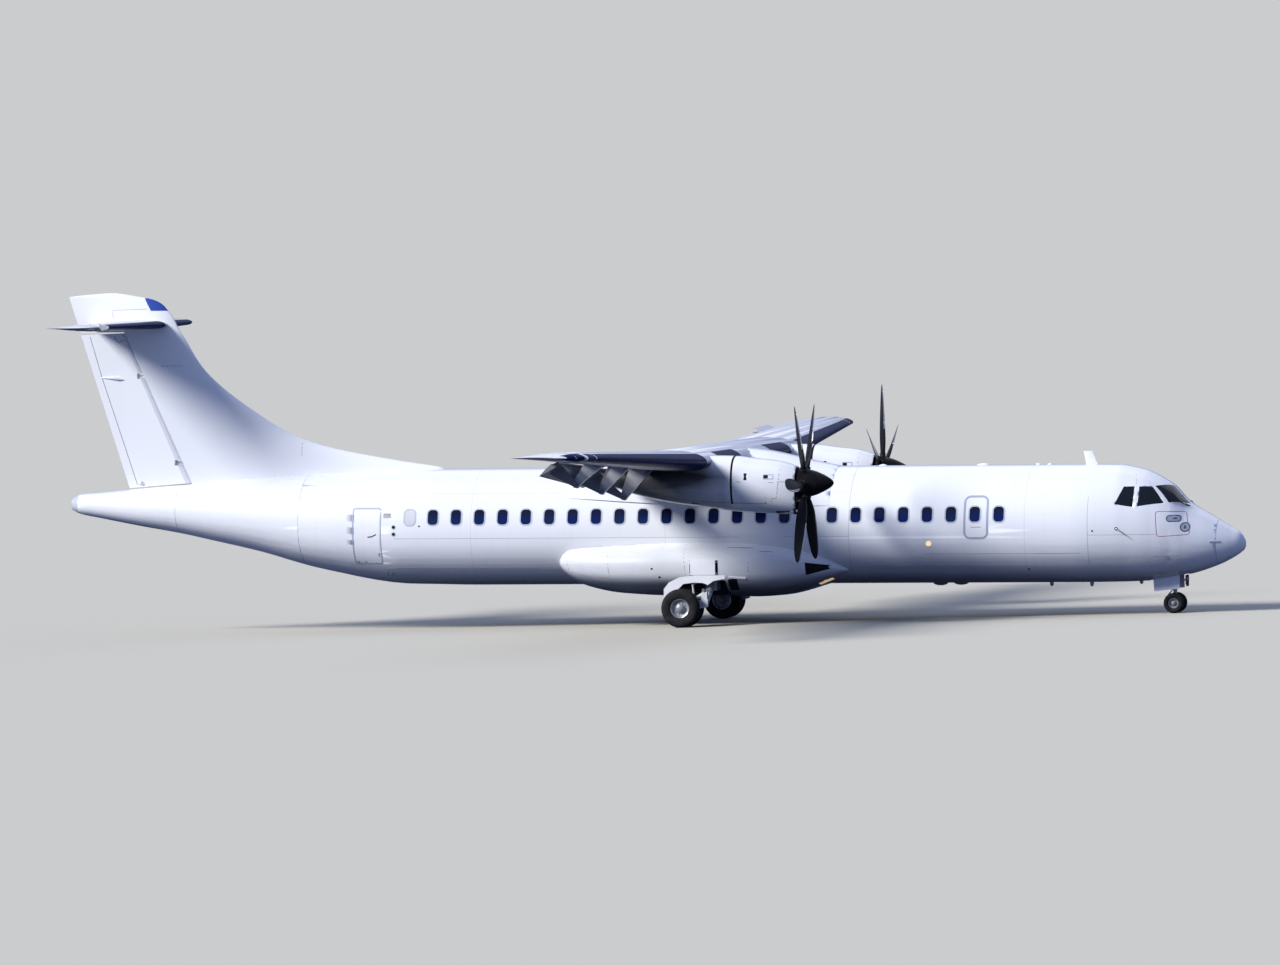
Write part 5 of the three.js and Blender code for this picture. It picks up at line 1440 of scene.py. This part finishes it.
class AIRLINER_OT_nacelles(bpy.types.Operator):
    """Smooth engine nacelles with their intakes, firewall bands and vents"""
    bl_idname = "airliner.nacelles"
    bl_label = "Nacelles"

    def execute(self, context):
        seams, holes, lips, flaps = (Shape() for _ in range(4))
        for side, form in NACELLE_FORMS.items():
            planes = station_planes(np.arange(9.3, 13.9, .15)) + ring_planes(form, 10.6, NACELLE_SIDES)
            # The nacelle's inner faces take near black: painted shade.
            cowl = fine(f"nacelle_skin_{side}", f"nacelle_{side}", form.snap, planes, "nacelle",
                        sharp=28, inner="dark", inside=form.deep)
            on = Skin(cowl).side
            hoop(holes, form, 10.635, .045, -42, 222)
            lip = rounded(.58, .27, .12, (form.side, INTAKE[1]))
            lips.loft([lip_ring(form.side, y, h) for y, h in lip + lip[:1]], caps=False)
            # A near black sheet across the intake a little way in: painted shade of the duct.
            holes.block((9.6, form.side - .262, 1.743), (9.66, form.side + .262, 1.967))
            for out in (1, -1):
                lines(seams, NACELLE_LINES, out, .009, on)
                lines(holes, [[(10.42, 1.97), (10.42, 2.1)], [(9.88, 1.97), (9.88, 2.09)]], out, .02, on)
                patch(holes, rounded(.07, .15, .015, (10.32, 2.55), 2), out, on=on)
                patch(holes, rounded(.11, .07, .01, (9.87, 2.545), 2), out, on=on)
                band(flaps, rounded(.21, .09, .01, (9.815, 2.545), 2), out, .016, .006, on=on)
        seams.make("nacelle_seams", "seam", slot="grey_paint", sharp=50)
        holes.make("nacelle_vents_and_painted_intake_shade", "dark", slot="grey_paint", sharp=50)
        lips.make("intake_lips", "hose", slot="blade_black", sharp=60)
        flaps.make("nacelle_flaps", "frame", slot="grey_paint", sharp=50)
        dressed("engine", "engine_left", "engine_right")
        return {"FINISHED"}


# Blade sections: radius, chord, thickness, pitch from the plane of turning in degrees
BLADE = np.array([
    (.15, .125, .11, 50), (.38, .125, .105, 50), (.54, .2, .066, 46), (.85, .3, .042, 37),
    (1.25, .335, .027, 30), (1.7, .29, .016, 24), (PROP_RADIUS, .12, .007, 21),
])
BLADE_RADII = (*np.linspace(.15, .54, 8), *np.linspace(.6, 1.84, 22), 1.87, 1.9, 1.925, 1.945, 1.957, 1.963)
# Points of a blade's ring that its metal edge covers
EDGE_POINTS = (21, 22, 23, 0, 1, 2, 3)
# Cuff at a blade's root: radius, and distance from the hub's middle
CUFF = ((.066, .2), (.066, .385), (.082, .385), (.082, .37))
# Hub, back plate and shaft: radius, and distance ahead of the plane of the blades
HUB = [(0, .12), (.2, .12), (.2, -.1), (.31, -.1), (.31, -.114), (.07, -.114), (.07, -.5), (0, -.5)]
# Spinner: station, radius; and its length
SPINNER = [(8.44, 0), (8.49, .08), (8.64, .175), (8.88, .275), (9.2, .34)]
SPINNER_LENGTH = .76


def spinner_profile(steps=28):
    """Outline of a spinner: radius, and distance ahead of the plane of the blades."""
    stations, radii = zip(*SPINNER)
    places = []
    for back in (SPINNER_LENGTH * (i / steps) ** 2 for i in range(steps + 1)):
        radius = float(curve(np.sqrt(np.array(stations) - stations[0]), radii, math.sqrt(back)))
        places.append((radius, PROP_STATION - stations[0] - back))
    return places + [(.326, -.12), (.3, -.1), (0, -.1)]


def blade_ring(radius, grow=1):
    """Section of a blade that stands up from the hub: ahead, to port and up."""
    chord, thick, pitch = (float(curve(BLADE[:, 0], BLADE[:, i], radius)) for i in (1, 2, 3))
    sharp = min(max((radius - .38) / .3, 0), 1)
    end = min(1, math.sqrt(max(0, 1 - ((radius - 1.86) / .1055) ** 2))) if radius > 1.86 else 1
    chord *= grow * mix(.35, 1, end)
    angle = math.radians(pitch)
    points = []
    for t in round_angles(24):
        along = math.cos(t) / 2
        through = math.sin(t) / 2 * mix(1, (.5 + along) ** .5 * 1.25 + .12, sharp)
        a, b = along * chord, through * thick * grow
        ahead = a * math.sin(angle) + b * math.cos(angle)
        points.append((ahead, b * math.sin(angle) - a * math.cos(angle), radius))
    return points


class AIRLINER_OT_propellers(bpy.types.Operator):
    """Six bladed propellers with their spinners"""
    bl_idname = "airliner.propellers"
    bl_label = "Propellers"

    def execute(self, context):
        ahead = row(0, 0, 0) - row(1, 0, 0)
        for name, side, phase in (("left", ENGINE_SIDE, 0), ("right", -ENGINE_SIDE, 30)):
            body = f"propeller_{name}"
            blades, cuffs, edges, shell = (Shape() for _ in range(4))
            for i in range(BLADES):
                turn = Matrix.Rotation(math.radians(phase + 360 / BLADES * i), 3, "X")

                def placed(points):
                    turned = [turn @ Vector(p) for p in points]
                    return [row(PROP_STATION - q.x, side + q.y, PROP_HEIGHT + q.z) for q in turned]

                blades.loft([placed(blade_ring(r)) for r in BLADE_RADII])
                edges.loft([placed([blade_ring(r, 1.012)[k] for k in EDGE_POINTS])
                            for r in np.linspace(.95, 1.84, 16)], closed=False, caps=False)
                cuffs.loft([placed([(r * math.cos(a), r * math.sin(a), out) for a in round_angles(24)])
                            for r, out in CUFF])
            hub = row(PROP_STATION, side, PROP_HEIGHT)
            cuffs.lathe(HUB, hub, ahead, 40)
            made = blades.make(f"blades_{name}", "blade", body, "blade_black", sharp=50)
            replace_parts(made, f"propeller_{name}")
            cuffs.make(f"blade_cuffs_{name}", "hose", body, "blade_black", sharp=40)
            edges.make(f"blade_edges_{name}", "metal", body, "blade_black", sharp=60, thick=.0015)
            shell.lathe(spinner_profile(), hub, ahead, 64)
            made = shell.make(f"spinner_shell_{name}", "blade", body, "blade_black", sharp=50)
            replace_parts(made, f"spinner_{name}")
        return {"FINISHED"}


# Fairing of the wing's root: station, thickness at its edge, rise at the top, angle of its edge
HUMP = np.array([
    (9.17, .008, .004, 24), (9.7, .025, .09, 24), (10.3, .035, .23, 24), (10.9, .04, .345, 24),
    (11.5, .04, .4, 24), (12.5, .04, .4, 25), (13.3, .04, .35, 27), (14, .038, .235, 29),
    (14.6, .03, .11, 31), (15.15, .008, .008, 33),
])


def hump_reach(station, angle, smooth):
    """Distance from the body's middle line to the wing fairing's skin, at an angle round it."""
    stations = HUMP[:, 0]
    edge, rise, low = (curve(stations, column, station) if smooth else np.interp(station, stations, column)
                       for column in HUMP.T[1:])
    start = np.sin(np.radians(low))
    share = np.clip((np.sin(angle) - start) / (1 - start), 0, 1)
    return BODY_HALF + edge + rise * share * share * (3 - 2 * share)


def hump_snap(p):
    """Moves the points on the fairing's flat sided skin to the smooth one."""
    station, side, height = p.T
    angle, reach = np.arctan2(height - BODY_MIDDLE, side), np.hypot(height - BODY_MIDDLE, side)
    flat = hump_reach(station, angle, False)
    on = (reach - BODY_HALF) > .6 * (flat - BODY_HALF)
    reach = np.where(on, hump_reach(station, angle, True), reach)
    return np.column_stack([station, reach * np.cos(angle), BODY_MIDDLE + reach * np.sin(angle)])


# Dark openings on each side of the belly fairing, and a painted shadow round the raised plate: corners, step
# between points, lift off the skin
FAIRING_HOLES = [
    ([(9.68, .53), (9.15, .46), (9.16, .38), (9.66, .25)], .06, .003),
    ([(11.37, .17), (11.16, .2), (11.16, -.07), (11.37, -.08)], .06, .003),
    # Painted shadow: a dark patch a little larger than the first raised plate that follows, showing round its
    # edges.
    ([(12.235, .6), (11.585, .6), (11.585, .255), (12.235, .255)], .08, .002),
]
# Raised plates there: the same, and their depth under the skin
FAIRING_PLATES = [
    ([(12.21, .6), (11.64, .6), (11.64, .285), (12.21, .285)], .08, .045, .04),
    ([(11.35, .25), (10.96, .22), (10.96, .18), (11.35, .21)], .06, .02, .01),
]
# Seams of the belly fairing, as corners of station and height
FAIRING_LINES = [
    [(14.18, .88), (14.13, .43), (14.06, -.02)], [(12.4, .94), (12.33, .29)],
    [(11.43, .65), (11.43, .88), (10.86, .86), (10.91, .45), (10.83, -.06)],
    [(10.69, .78), (10.41, .78), (10.41, .61)], [(15.17, .6), (15.08, .3), (14.9, .05)],
    [(12.97, -.2), (12.97, .1)],
]
# Landing light under the gear fairing's nose: stations, with the angles from its side between which it lies
LANDING_LIGHT = [(9.17, -60, -46), (9.5, -70, -57)]


def lamp_strip(shape, sign, steps=8, lift=.004, depth=.004):
    """Strip of a landing light, laid round the fairing's own form because its skin is nearly level there."""
    (front, *low), (back, *high) = LANDING_LIGHT
    rings = []
    for i in range(steps + 1):
        station, start, end = (mix(a, b, i / steps) for a, b in zip((front, *low), (back, *high)))
        angles = [math.radians(mix(start, end, k / steps)) for k in range(steps + 1)]
        out, under = (BELLY_FORM.ring(station, angles, grow) for grow in (lift, -depth))
        rings.append([row(s, sign * y, h) for s, y, h in out + under[::-1]])
    shape.loft(rings)


class AIRLINER_OT_fairings(bpy.types.Operator):
    """Smooth fairings over the wing's root and round the landing gear"""
    bl_idname = "airliner.fairings"
    bl_label = "Fairings"

    def execute(self, context):
        turns = [math.radians(a) for a in np.arange(24, 157, 2.75)]
        rays = [((10, 0, BODY_MIDDLE), (0, -math.sin(a), math.cos(a)), None) for a in turns]
        fine("wing_root_fairing", "wing_fairing", hump_snap, station_planes(np.arange(9.3, 15.1, .15)) + rays,
             "white", sharp=30)
        planes = station_planes(np.arange(8.9, 15.4, .12)) + ring_planes(BELLY_FORM, 12, BELLY_SIDES)
        # The faces deep in the gear fairing, its wheel bays, take near black: painted shade.
        belly = fine("belly_fairing", "gear_fairing", BELLY_FORM.snap, planes, "white", sharp=28,
                     inner="bay", inside=BELLY_FORM.deep)
        on = Skin(belly).side
        holes, lamps, seams, plates = (Shape() for _ in range(4))
        for sign in (1, -1):
            # Vents, and the painted shadow round the raised plate
            for corners, step, lift in FAIRING_HOLES:
                patch(holes, dense(corners, step), sign, lift, on=on)
            for corners, step, lift, depth in FAIRING_PLATES:
                patch(plates, dense(corners, step), sign, lift, depth, on=on)
            lamp_strip(lamps, sign)
            lines(seams, FAIRING_LINES, sign, .009, on)
            for s, h in ((13.1, .42), (12.93, .23)):
                patch(holes, rounded(.05, .04, .015, (s, h), 2), sign, .002, on=on)
        holes.make("fairing_vents_and_painted_shadow", "dark", slot="grey_paint", sharp=50)
        lamps.make("landing_lights", "warm lamp", slot="glass", sharp=50)
        seams.make("fairing_seams", "seam", slot="grey_paint", sharp=50)
        plates.make("fairing_plates", "door", sharp=50)
        return {"FINISHED"}


# Side of a tyre: share of the way from rim to tread, and of the half width
TYRE_SIDE = [(.14, -.86), (.3, -.96), (.5, -1), (.68, -.975), (.83, -.88), (.93, -.72), (.985, -.55)]
# Section of a wheel from its axle: share of the rim's radius, and of the half width
WHEEL_SECTION = [
    (.8, -.55), (.97, -.72), (1.06, -.7), (1.06, -.6), (1, -.58), (1, .58), (1.06, .6), (1.06, .7),
    (.98, .72), (.92, .66), (.86, .3), (.7, .16), (.5, .18), (.42, .3), (.4, .62), (.34, .7), (.12, .78),
    (0, .78),
]
# How many points of that section, with the axle's, belong to the rim; the rest is the disc
RIM_POINTS = 12
# Wheels: node, radius, the tyre's width, the rim's and the axle's radius, start of the tyres' names
WHEELS = [
    ("main_wheels_left", MAIN_RADIUS, .25, .212, .055, "main_tyre_left"),
    ("main_wheels_right", MAIN_RADIUS, .25, .212, .055, "main_tyre_right"),
    ("nose_wheels", NOSE_RADIUS, .185, .112, .032, "nose_tyre"),
]
WHEEL_BOLTS = 10
# Half the distance between twin wheels
TWIN_HALF = .2


def tyre_profile(radius, width, rim):
    """Half round sides, a crowned tread with grooves, and beads on the rim: radius and side."""
    sides = [(mix(rim, radius, share), side) for share, side in TYRE_SIDE]
    places = [(rim + .0004, -.7), *sides, (radius, -.46)]
    deep, slot = radius - width * .022, .018
    grooves = []
    for side in (-.36, -.12, .12, .36):
        grooves += [(radius, side - slot), (deep, side - slot * .8), (deep, side + slot * .8),
                    (radius, side + slot)]
    whole = places + grooves + [(r, -s) for r, s in places[::-1]]
    return [(r, s * width / 2) for r, s in whole]


def wheel_profile(rim, width, axle, out):
    """Section of a wheel: a flanged rim, a dished disc and a hub cap; out is the outer face's side."""
    places = [(axle * .4, -.5)] + [(rim * share, side) for share, side in WHEEL_SECTION]
    return [(radius, side * width / 2 * out) for radius, side in places]


class AIRLINER_OT_wheels(bpy.types.Operator):
    """Tyres with grooves, and wheels with their discs, bolts and axles"""
    bl_idname = "airliner.wheels"
    bl_label = "Wheels"

    def execute(self, context):
        across = (0, 1, 0)
        for node, radius, width, rim, axle, tyre in WHEELS:
            centre = Vector(JOINTS[f"{node}_spin"]["pos_m"])
            metal, discs = Shape(), Shape()
            for name, sign in SIDES:
                middle = centre + Vector((0, TWIN_HALF * sign, 0))
                rubber = Shape().lathe(tyre_profile(radius, width, rim), middle, across, 96)
                made = rubber.make(f"{tyre}_{name}_rubber", "tyre", node, "tyre", sharp=40)
                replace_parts(made, f"{tyre}_{name}")
                section = wheel_profile(rim, width, axle, sign)
                metal.lathe(section[:RIM_POINTS], middle, across, 64, closed=False)
                discs.lathe(section[RIM_POINTS - 1:], middle, across, 64, closed=False)
                inner_face = [(0, -.5 * width / 2 * sign), (rim * .8, -.55 * width / 2 * sign)]
                discs.lathe(inner_face, middle, across, 48, closed=False)
                for angle in round_angles(WHEEL_BOLTS):
                    spot = middle + Vector((math.cos(angle), 0, math.sin(angle))) * rim * .6
                    face = spot + Vector((0, sign * .16 * width / 2, 0))
                    metal.tube([face, face + Vector((0, sign * .016, 0))], rim * .055, 6)
            metal.tube([centre + Vector((0, y, 0)) for y in (-.19, .19)], axle, 24)
            finish = "hub" if radius == NOSE_RADIUS else "rim"
            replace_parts(metal.make(f"{node}_rims", finish, node, "wheel_metal", sharp=40), node)
            discs.make(f"{node}_discs", "hub", node, "wheel_metal", sharp=40)
        return {"FINISHED"}


# Main legs: distance from the middle to each, and how far ahead of its axle the leg stands
HALF_TRACK, LEG_AHEAD = 2.05, .52
# Hoses of a main leg: how far to its inner side they run, and how far over the axle they turn
HOSES = ((-.075, .3), (-.09, .26))
# Brake plate: radius, distance along the axle; and how many pins stand on it
BRAKE = [(.062, -.012), (.15, -.012), (.15, .012), (.062, .012), (.062, -.012)]
BRAKE_PINS = 8
# Torque links of the nose gear: height of both ends, how far aft their knee is, and their section
TORQUE_ENDS, TORQUE_KNEE = (-.42, -.16), .16
TORQUE_SECTION = ((-.03, -.014), (.03, -.014), (.03, .014), (-.03, .014))
# Taxi light's ring and lens: radius, distance ahead of the plate
LIGHT_RING = [(0, 0), (.062, 0), (.062, .01), (.055, .012), (.052, .006), (0, .004)]
LIGHT_LENS = [(0, .005), (.051, .005), (.051, .008), (.03, .011), (0, .012)]


class AIRLINER_OT_gear(bpy.types.Operator):
    """Finishes of the landing gear legs and doors, with struts, links, hoses, brakes and taxi lights"""
    bl_idname = "airliner.gear"
    bl_label = "Landing gear"

    def execute(self, context):
        dressed("gear", "main_gear_leg_left", "main_gear_leg_right", "nose_gear_leg", "nose_gear_fork")
        dressed("door", *(f"{gear}_gear_door_{side}" for gear in ("main", "nose") for side, _ in SIDES))
        hoses, brakes, struts, links, torque, plate, lamps = (Shape() for _ in range(7))
        axle = MAIN_RADIUS / COS - BELLY
        leg = AXLE_STATION - LEG_AHEAD
        for sign in (1, -1):
            side = HALF_TRACK * sign
            for dy, drop in HOSES:
                y = side + dy * sign
                hoses.tube([row(leg + .02, y, -.06), row(leg + .1, side + (dy - .03) * sign, axle + drop),
                            row(leg + .3, y, axle + .15), row(AXLE_STATION - .06, y, axle + .08)], .009)
            for y in (-.075, .075):
                spot = row(AXLE_STATION, side + y, axle)
                brakes.lathe(BRAKE, spot, (0, 1, 0), 40, closed=False)
                for t in round_angles(BRAKE_PINS):
                    pin = spot + Vector((.12 * math.cos(t), -.02 * math.copysign(1, y), .12 * math.sin(t)))
                    brakes.tube([pin, pin + Vector((0, .04 * math.copysign(1, y), 0))], .011, 8)
            struts.tube([row(12.15, 1.99 * sign, .08), row(12.12, 1.97 * sign, -.3)], .022, 14)
            knees = ((12.17, 1.98, .06), (12.1, 1.9, .1), (12, 1.6, .12))
            links.tube([row(s, y * sign, h) for s, y, h in knees], .018)
            links.tube([row(leg + .03, y * sign, -.05) for y in (1.99, 2.12)], .035, 16)
        struts.make("door_struts", "gear", slot="gear_paint", sharp=40)
        nose = row(AXLE_STATION - WHEELBASE, 0, 0)
        for y in (-.03, .03):
            route = ((-.075, .1), (-.09, -.05), (-.07, -.1))
            hoses.tube([nose + Vector((x, y, h)) for x, h in route], .007)
        links.tube([nose + Vector((.27, y, .05)) for y in (-.13, .13)], .02, 12)
        hoses.make("gear_hoses", "hose", slot="blade_black", sharp=50)
        brakes.make("brake_plates", "hub", slot="gear_paint", sharp=40)
        links.make("gear_links", "metal", slot="gear_paint", sharp=40)
        low, high = TORQUE_ENDS
        knee = (TORQUE_KNEE, (low + high) / 2)
        for ends in (((.05, low), knee), (knee, (.05, high))):
            torque.loft([[nose + Vector((-x, y, h + dh)) for y, dh in TORQUE_SECTION] for x, h in ends])
        torque.make("nose_torque_links", "gear", "nose_steering", "gear_paint", bevel=.004)
        # The taxi lights' plate takes the bays' near black: painted shade.
        plate.block((1.318, -.152, -.1), (1.324, .152, .152))
        for y in (-.075, .075):
            spot, ahead = row(1.318, y, .06), row(1, y, .06) - row(1.318, y, .06)
            plate.lathe(LIGHT_RING, spot, ahead, 28)
            lamps.lathe(LIGHT_LENS, spot, ahead, 28)
        plate.make("taxi_light_plate", "bay", slot="gear_paint", sharp=40)
        lamps.make("taxi_lights", "lamp", slot="glass", sharp=50)
        return {"FINISHED"}


def fin_plate(shape, corners, thick):
    """A thin upright blade with chamfered edges, from stations and heights."""
    centre = centre_of(corners)
    shape.loft([[row(mix(centre[0], s, grow), y * thick, mix(centre[1], h, grow)) for s, h in corners]
                for y, grow in ((-.5, .8), (-.3, 1), (.3, 1), (.5, .8))])


# Small bumps on the body's top and belly: station, length, width, rise
TOP_BUMPS = [(5.91, .3, .16, .035), (4.66, .12, .09, .03), (4.4, .12, .09, .03), (8.2, .2, .12, .03)]
BELLY_BUMPS = [(6.45, .34, .2, .05), (6.92, .34, .2, .06), (4.39, .09, .05, .09), (3.48, .09, .05, .1),
               (2.36, .09, .05, .07)]
# Drains on each side of the body: station, height
DRAINS = ((19.34, .33), (19.46, .33), (10.2, .2))
# Sides of the static wicks on an elevator's rear edge
WICKS = (1.4, 2, 2.6, 3.1)


class AIRLINER_OT_antennas(bpy.types.Operator):
    """Antennas, probes, drains and static wicks"""
    bl_idname = "airliner.antennas"
    bl_label = "Antennas"

    def execute(self, context):
        white, dark = Shape(), Shape()
        fin_plate(white, [(3.63, 2.92), (3.43, 2.92), (3.3, 2.6), (3.57, 2.6)], .035)
        for bumps, sign in ((TOP_BUMPS, 1), (BELLY_BUMPS, -1)):
            for s, long, wide, rise in bumps:
                top, bottom, _ = (float(v) for v in BODY_FORM.smooth(s))
                base = (top if sign > 0 else bottom) - sign * .012
                bump = white if long > .1 else dark
                bump.loft([[row(s + long / 2 * grow * math.cos(t), wide / 2 * grow * math.sin(t),
                                base + sign * up) for t in round_angles(20)]
                           for grow, up in ((1, 0), (.94, rise * .6), (.7, rise * .92), (.3, rise + .012))])
        for sign in (1, -1):
            base = skin(2.68, 1.24, sign)
            dark.tube([skin(2.68, 1.24, sign, -.01), skin(2.68, 1.24, sign, .012)], .036, 20)
            dark.tube([base, skin(2.62, 1.2, sign, .05), skin(2.44, 1.07, sign, .06)], [.014, .012, .007])
            for s, h in DRAINS:
                dark.tube([skin(s, h, sign, -.01), skin(s + .02, h - .05, sign, .03),
                           skin(s + .06, h - .1, sign, .04)], [.014, .012, .01])
        white.make("antennas", "white", sharp=40)
        dark.make("probes_and_drains", "metal", slot="grey_paint", sharp=40)
        for side, sign in SIDES:
            wicks = Shape()
            for out in WICKS:
                lead, chord, _, height, _ = tailplane_at(out)
                edge = row(lead + chord - .01, sign * out, height)
                wicks.tube([edge, edge + Vector((-.13, 0, -.004))], [.004, .0025], 6)
            wicks.make(f"elevator_wicks_{side}", "hose", f"elevator_{side}", "blade_black", sharp=60)
        return {"FINISHED"}


# Distances from the middle between which the floor fades out, and its half width
STAGE_FADE = (34, 130)
FLOOR_REACH = 600
# How bright a white floor would be under the lights, in red, green and blue
FLOOR_LIGHT = (1.019, 1.073, 1.268)
# Light of the sky on the aircraft: colour, strength
SKY = ((.42, .55, 1), .46)
# Lights: name, the place that they shine from, power, spread in degrees, tint
LIGHTS = (
    ("key", (-44, -37, 36), 4.4, 18, (1, .99, .97)),
    ("fill", (55, -60, 32), .04, 60, (.5, .65, 1)),
    ("rim", (10, 60, 50), .4, 50, (1, 1, 1)),
)
# The photograph's camera: degrees, metres and, for the lens, millimetres
CAMERA = {"azimuth": 13.725, "elevation": 1.657, "roll": -1.828, "distance": 207.01, "lens": 258.42,
          "target": (-.2057, 0, 3.1894)}


class AIRLINER_OT_stage(bpy.types.Operator):
    """Plain pale floor, soft studio light and the camera at the photograph's angle"""
    bl_idname = "airliner.stage"
    bl_label = "Stage"

    def execute(self, context):
        pale = colours().floor
        context.scene.view_settings.view_transform = "Standard"
        world = bpy.data.worlds.new("Studio")
        world.use_nodes = True
        tree = world.node_tree
        sky, backdrop = tree.nodes["Background"], tree.nodes.new("ShaderNodeBackground")
        for node, colour, strength in ((sky, *SKY), (backdrop, pale, 1)):
            node.inputs["Color"].default_value = (*colour, 1)
            node.inputs["Strength"].default_value = strength
        seen, path = tree.nodes.new("ShaderNodeMixShader"), tree.nodes.new("ShaderNodeLightPath")
        sources = (path.outputs["Is Camera Ray"], sky.outputs[0], backdrop.outputs[0])
        for source, place in zip(sources, seen.inputs):
            tree.links.new(source, place)
        tree.links.new(seen.outputs[0], tree.nodes["World Output"].inputs[0])
        context.scene.world = world

        mesh = bpy.data.meshes.new("floor")
        corners = [(x * FLOOR_REACH, y * FLOOR_REACH, 0) for x, y in ((-1, -1), (1, -1), (1, 1), (-1, 1))]
        mesh.from_pydata(corners, [], [(0, 1, 2, 3)])
        floor = linked("floor", mesh)
        paint = [c / light for c, light in zip(pale, FLOOR_LIGHT)]
        f = Finish("Floor", paint, .8, Specular_IOR_Level=0)
        grain = f.noise(.35, 5)
        seen_floor = f.node("ShaderNodeLightPath", output="Is Camera Ray")
        grey = f.blend(grain * .06, paint, (.58, .56, .5))
        f.set("Base Color", f.blend(seen_floor, colours().bounce, grey))
        away = f.node("ShaderNodeVectorMath", {"operation": "LENGTH"}, {0: f.place}, "Value")
        fade = ((away - STAGE_FADE[0]) / (STAGE_FADE[1] - STAGE_FADE[0])).clamp()
        f.set("Alpha", 1 - fade * fade * (3 - 2 * fade))
        mesh.materials.append(f.material)

        for name, place, power, spread, tint in LIGHTS:
            light = bpy.data.lights.new(name, "SUN")
            light.energy, light.angle, light.color = power, math.radians(spread), tint
            lamp = linked(name, light)
            lamp.location = place
            lamp.rotation_euler = (-Vector(place)).to_track_quat("-Z", "Y").to_euler()

        a, e, r = (math.radians(CAMERA[k]) for k in ("azimuth", "elevation", "roll"))
        back = Vector((math.sin(a) * math.cos(e), -math.cos(a) * math.cos(e), math.sin(e)))
        level = Vector((math.cos(a), math.sin(a), 0))
        up = back.cross(level)
        right = level * math.cos(r) + up * math.sin(r)
        top = up * math.cos(r) - level * math.sin(r)
        data = bpy.data.cameras.new("camera")
        data.lens, data.sensor_width = CAMERA["lens"], 36
        data.clip_start, data.clip_end = 1, 2000
        camera = linked("camera", data)
        place = Vector(CAMERA["target"]) + back * CAMERA["distance"]
        camera.matrix_world = Matrix.Translation(place) @ Matrix((right, top, back)).transposed().to_4x4()
        context.scene.camera = camera
        return {"FINISHED"}


OPERATORS = (
    AIRLINER_OT_body, AIRLINER_OT_entrances, AIRLINER_OT_flight_deck, AIRLINER_OT_cabin_windows,
    AIRLINER_OT_skin_lines, AIRLINER_OT_wing, AIRLINER_OT_tail, AIRLINER_OT_nacelles, AIRLINER_OT_propellers,
    AIRLINER_OT_fairings, AIRLINER_OT_wheels, AIRLINER_OT_gear, AIRLINER_OT_antennas, AIRLINER_OT_stage,
)


class AIRLINER_PT_panel(bpy.types.Panel):
    """Sidebar panel with the airliner's sizes, colours and pieces"""
    bl_idname = "AIRLINER_PT_panel"
    bl_label = "Airliner"
    bl_space_type = "VIEW_3D"
    bl_region_type = "UI"
    bl_category = "Airliner"

    def draw(self, context):
        for group in (context.scene.airliner_sizes, context.scene.airliner_colours):
            for name in group.__annotations__:
                self.layout.prop(group, name)
        for operator in OPERATORS:
            self.layout.operator(operator.bl_idname)


CLASSES = (AirlinerColours, AirlinerSizes, *OPERATORS, AIRLINER_PT_panel)


def register():
    for cls in CLASSES:
        bpy.utils.register_class(cls)
    bpy.types.Scene.airliner_colours = PointerProperty(type=AirlinerColours)
    bpy.types.Scene.airliner_sizes = PointerProperty(type=AirlinerSizes)


def unregister():
    del bpy.types.Scene.airliner_sizes
    del bpy.types.Scene.airliner_colours
    for cls in reversed(CLASSES):
        bpy.utils.unregister_class(cls)


def main():
    register()
    for operator in OPERATORS:
        group, name = operator.bl_idname.split(".")
        getattr(getattr(bpy.ops, group), name)()


if __name__ == "__main__":
    main()
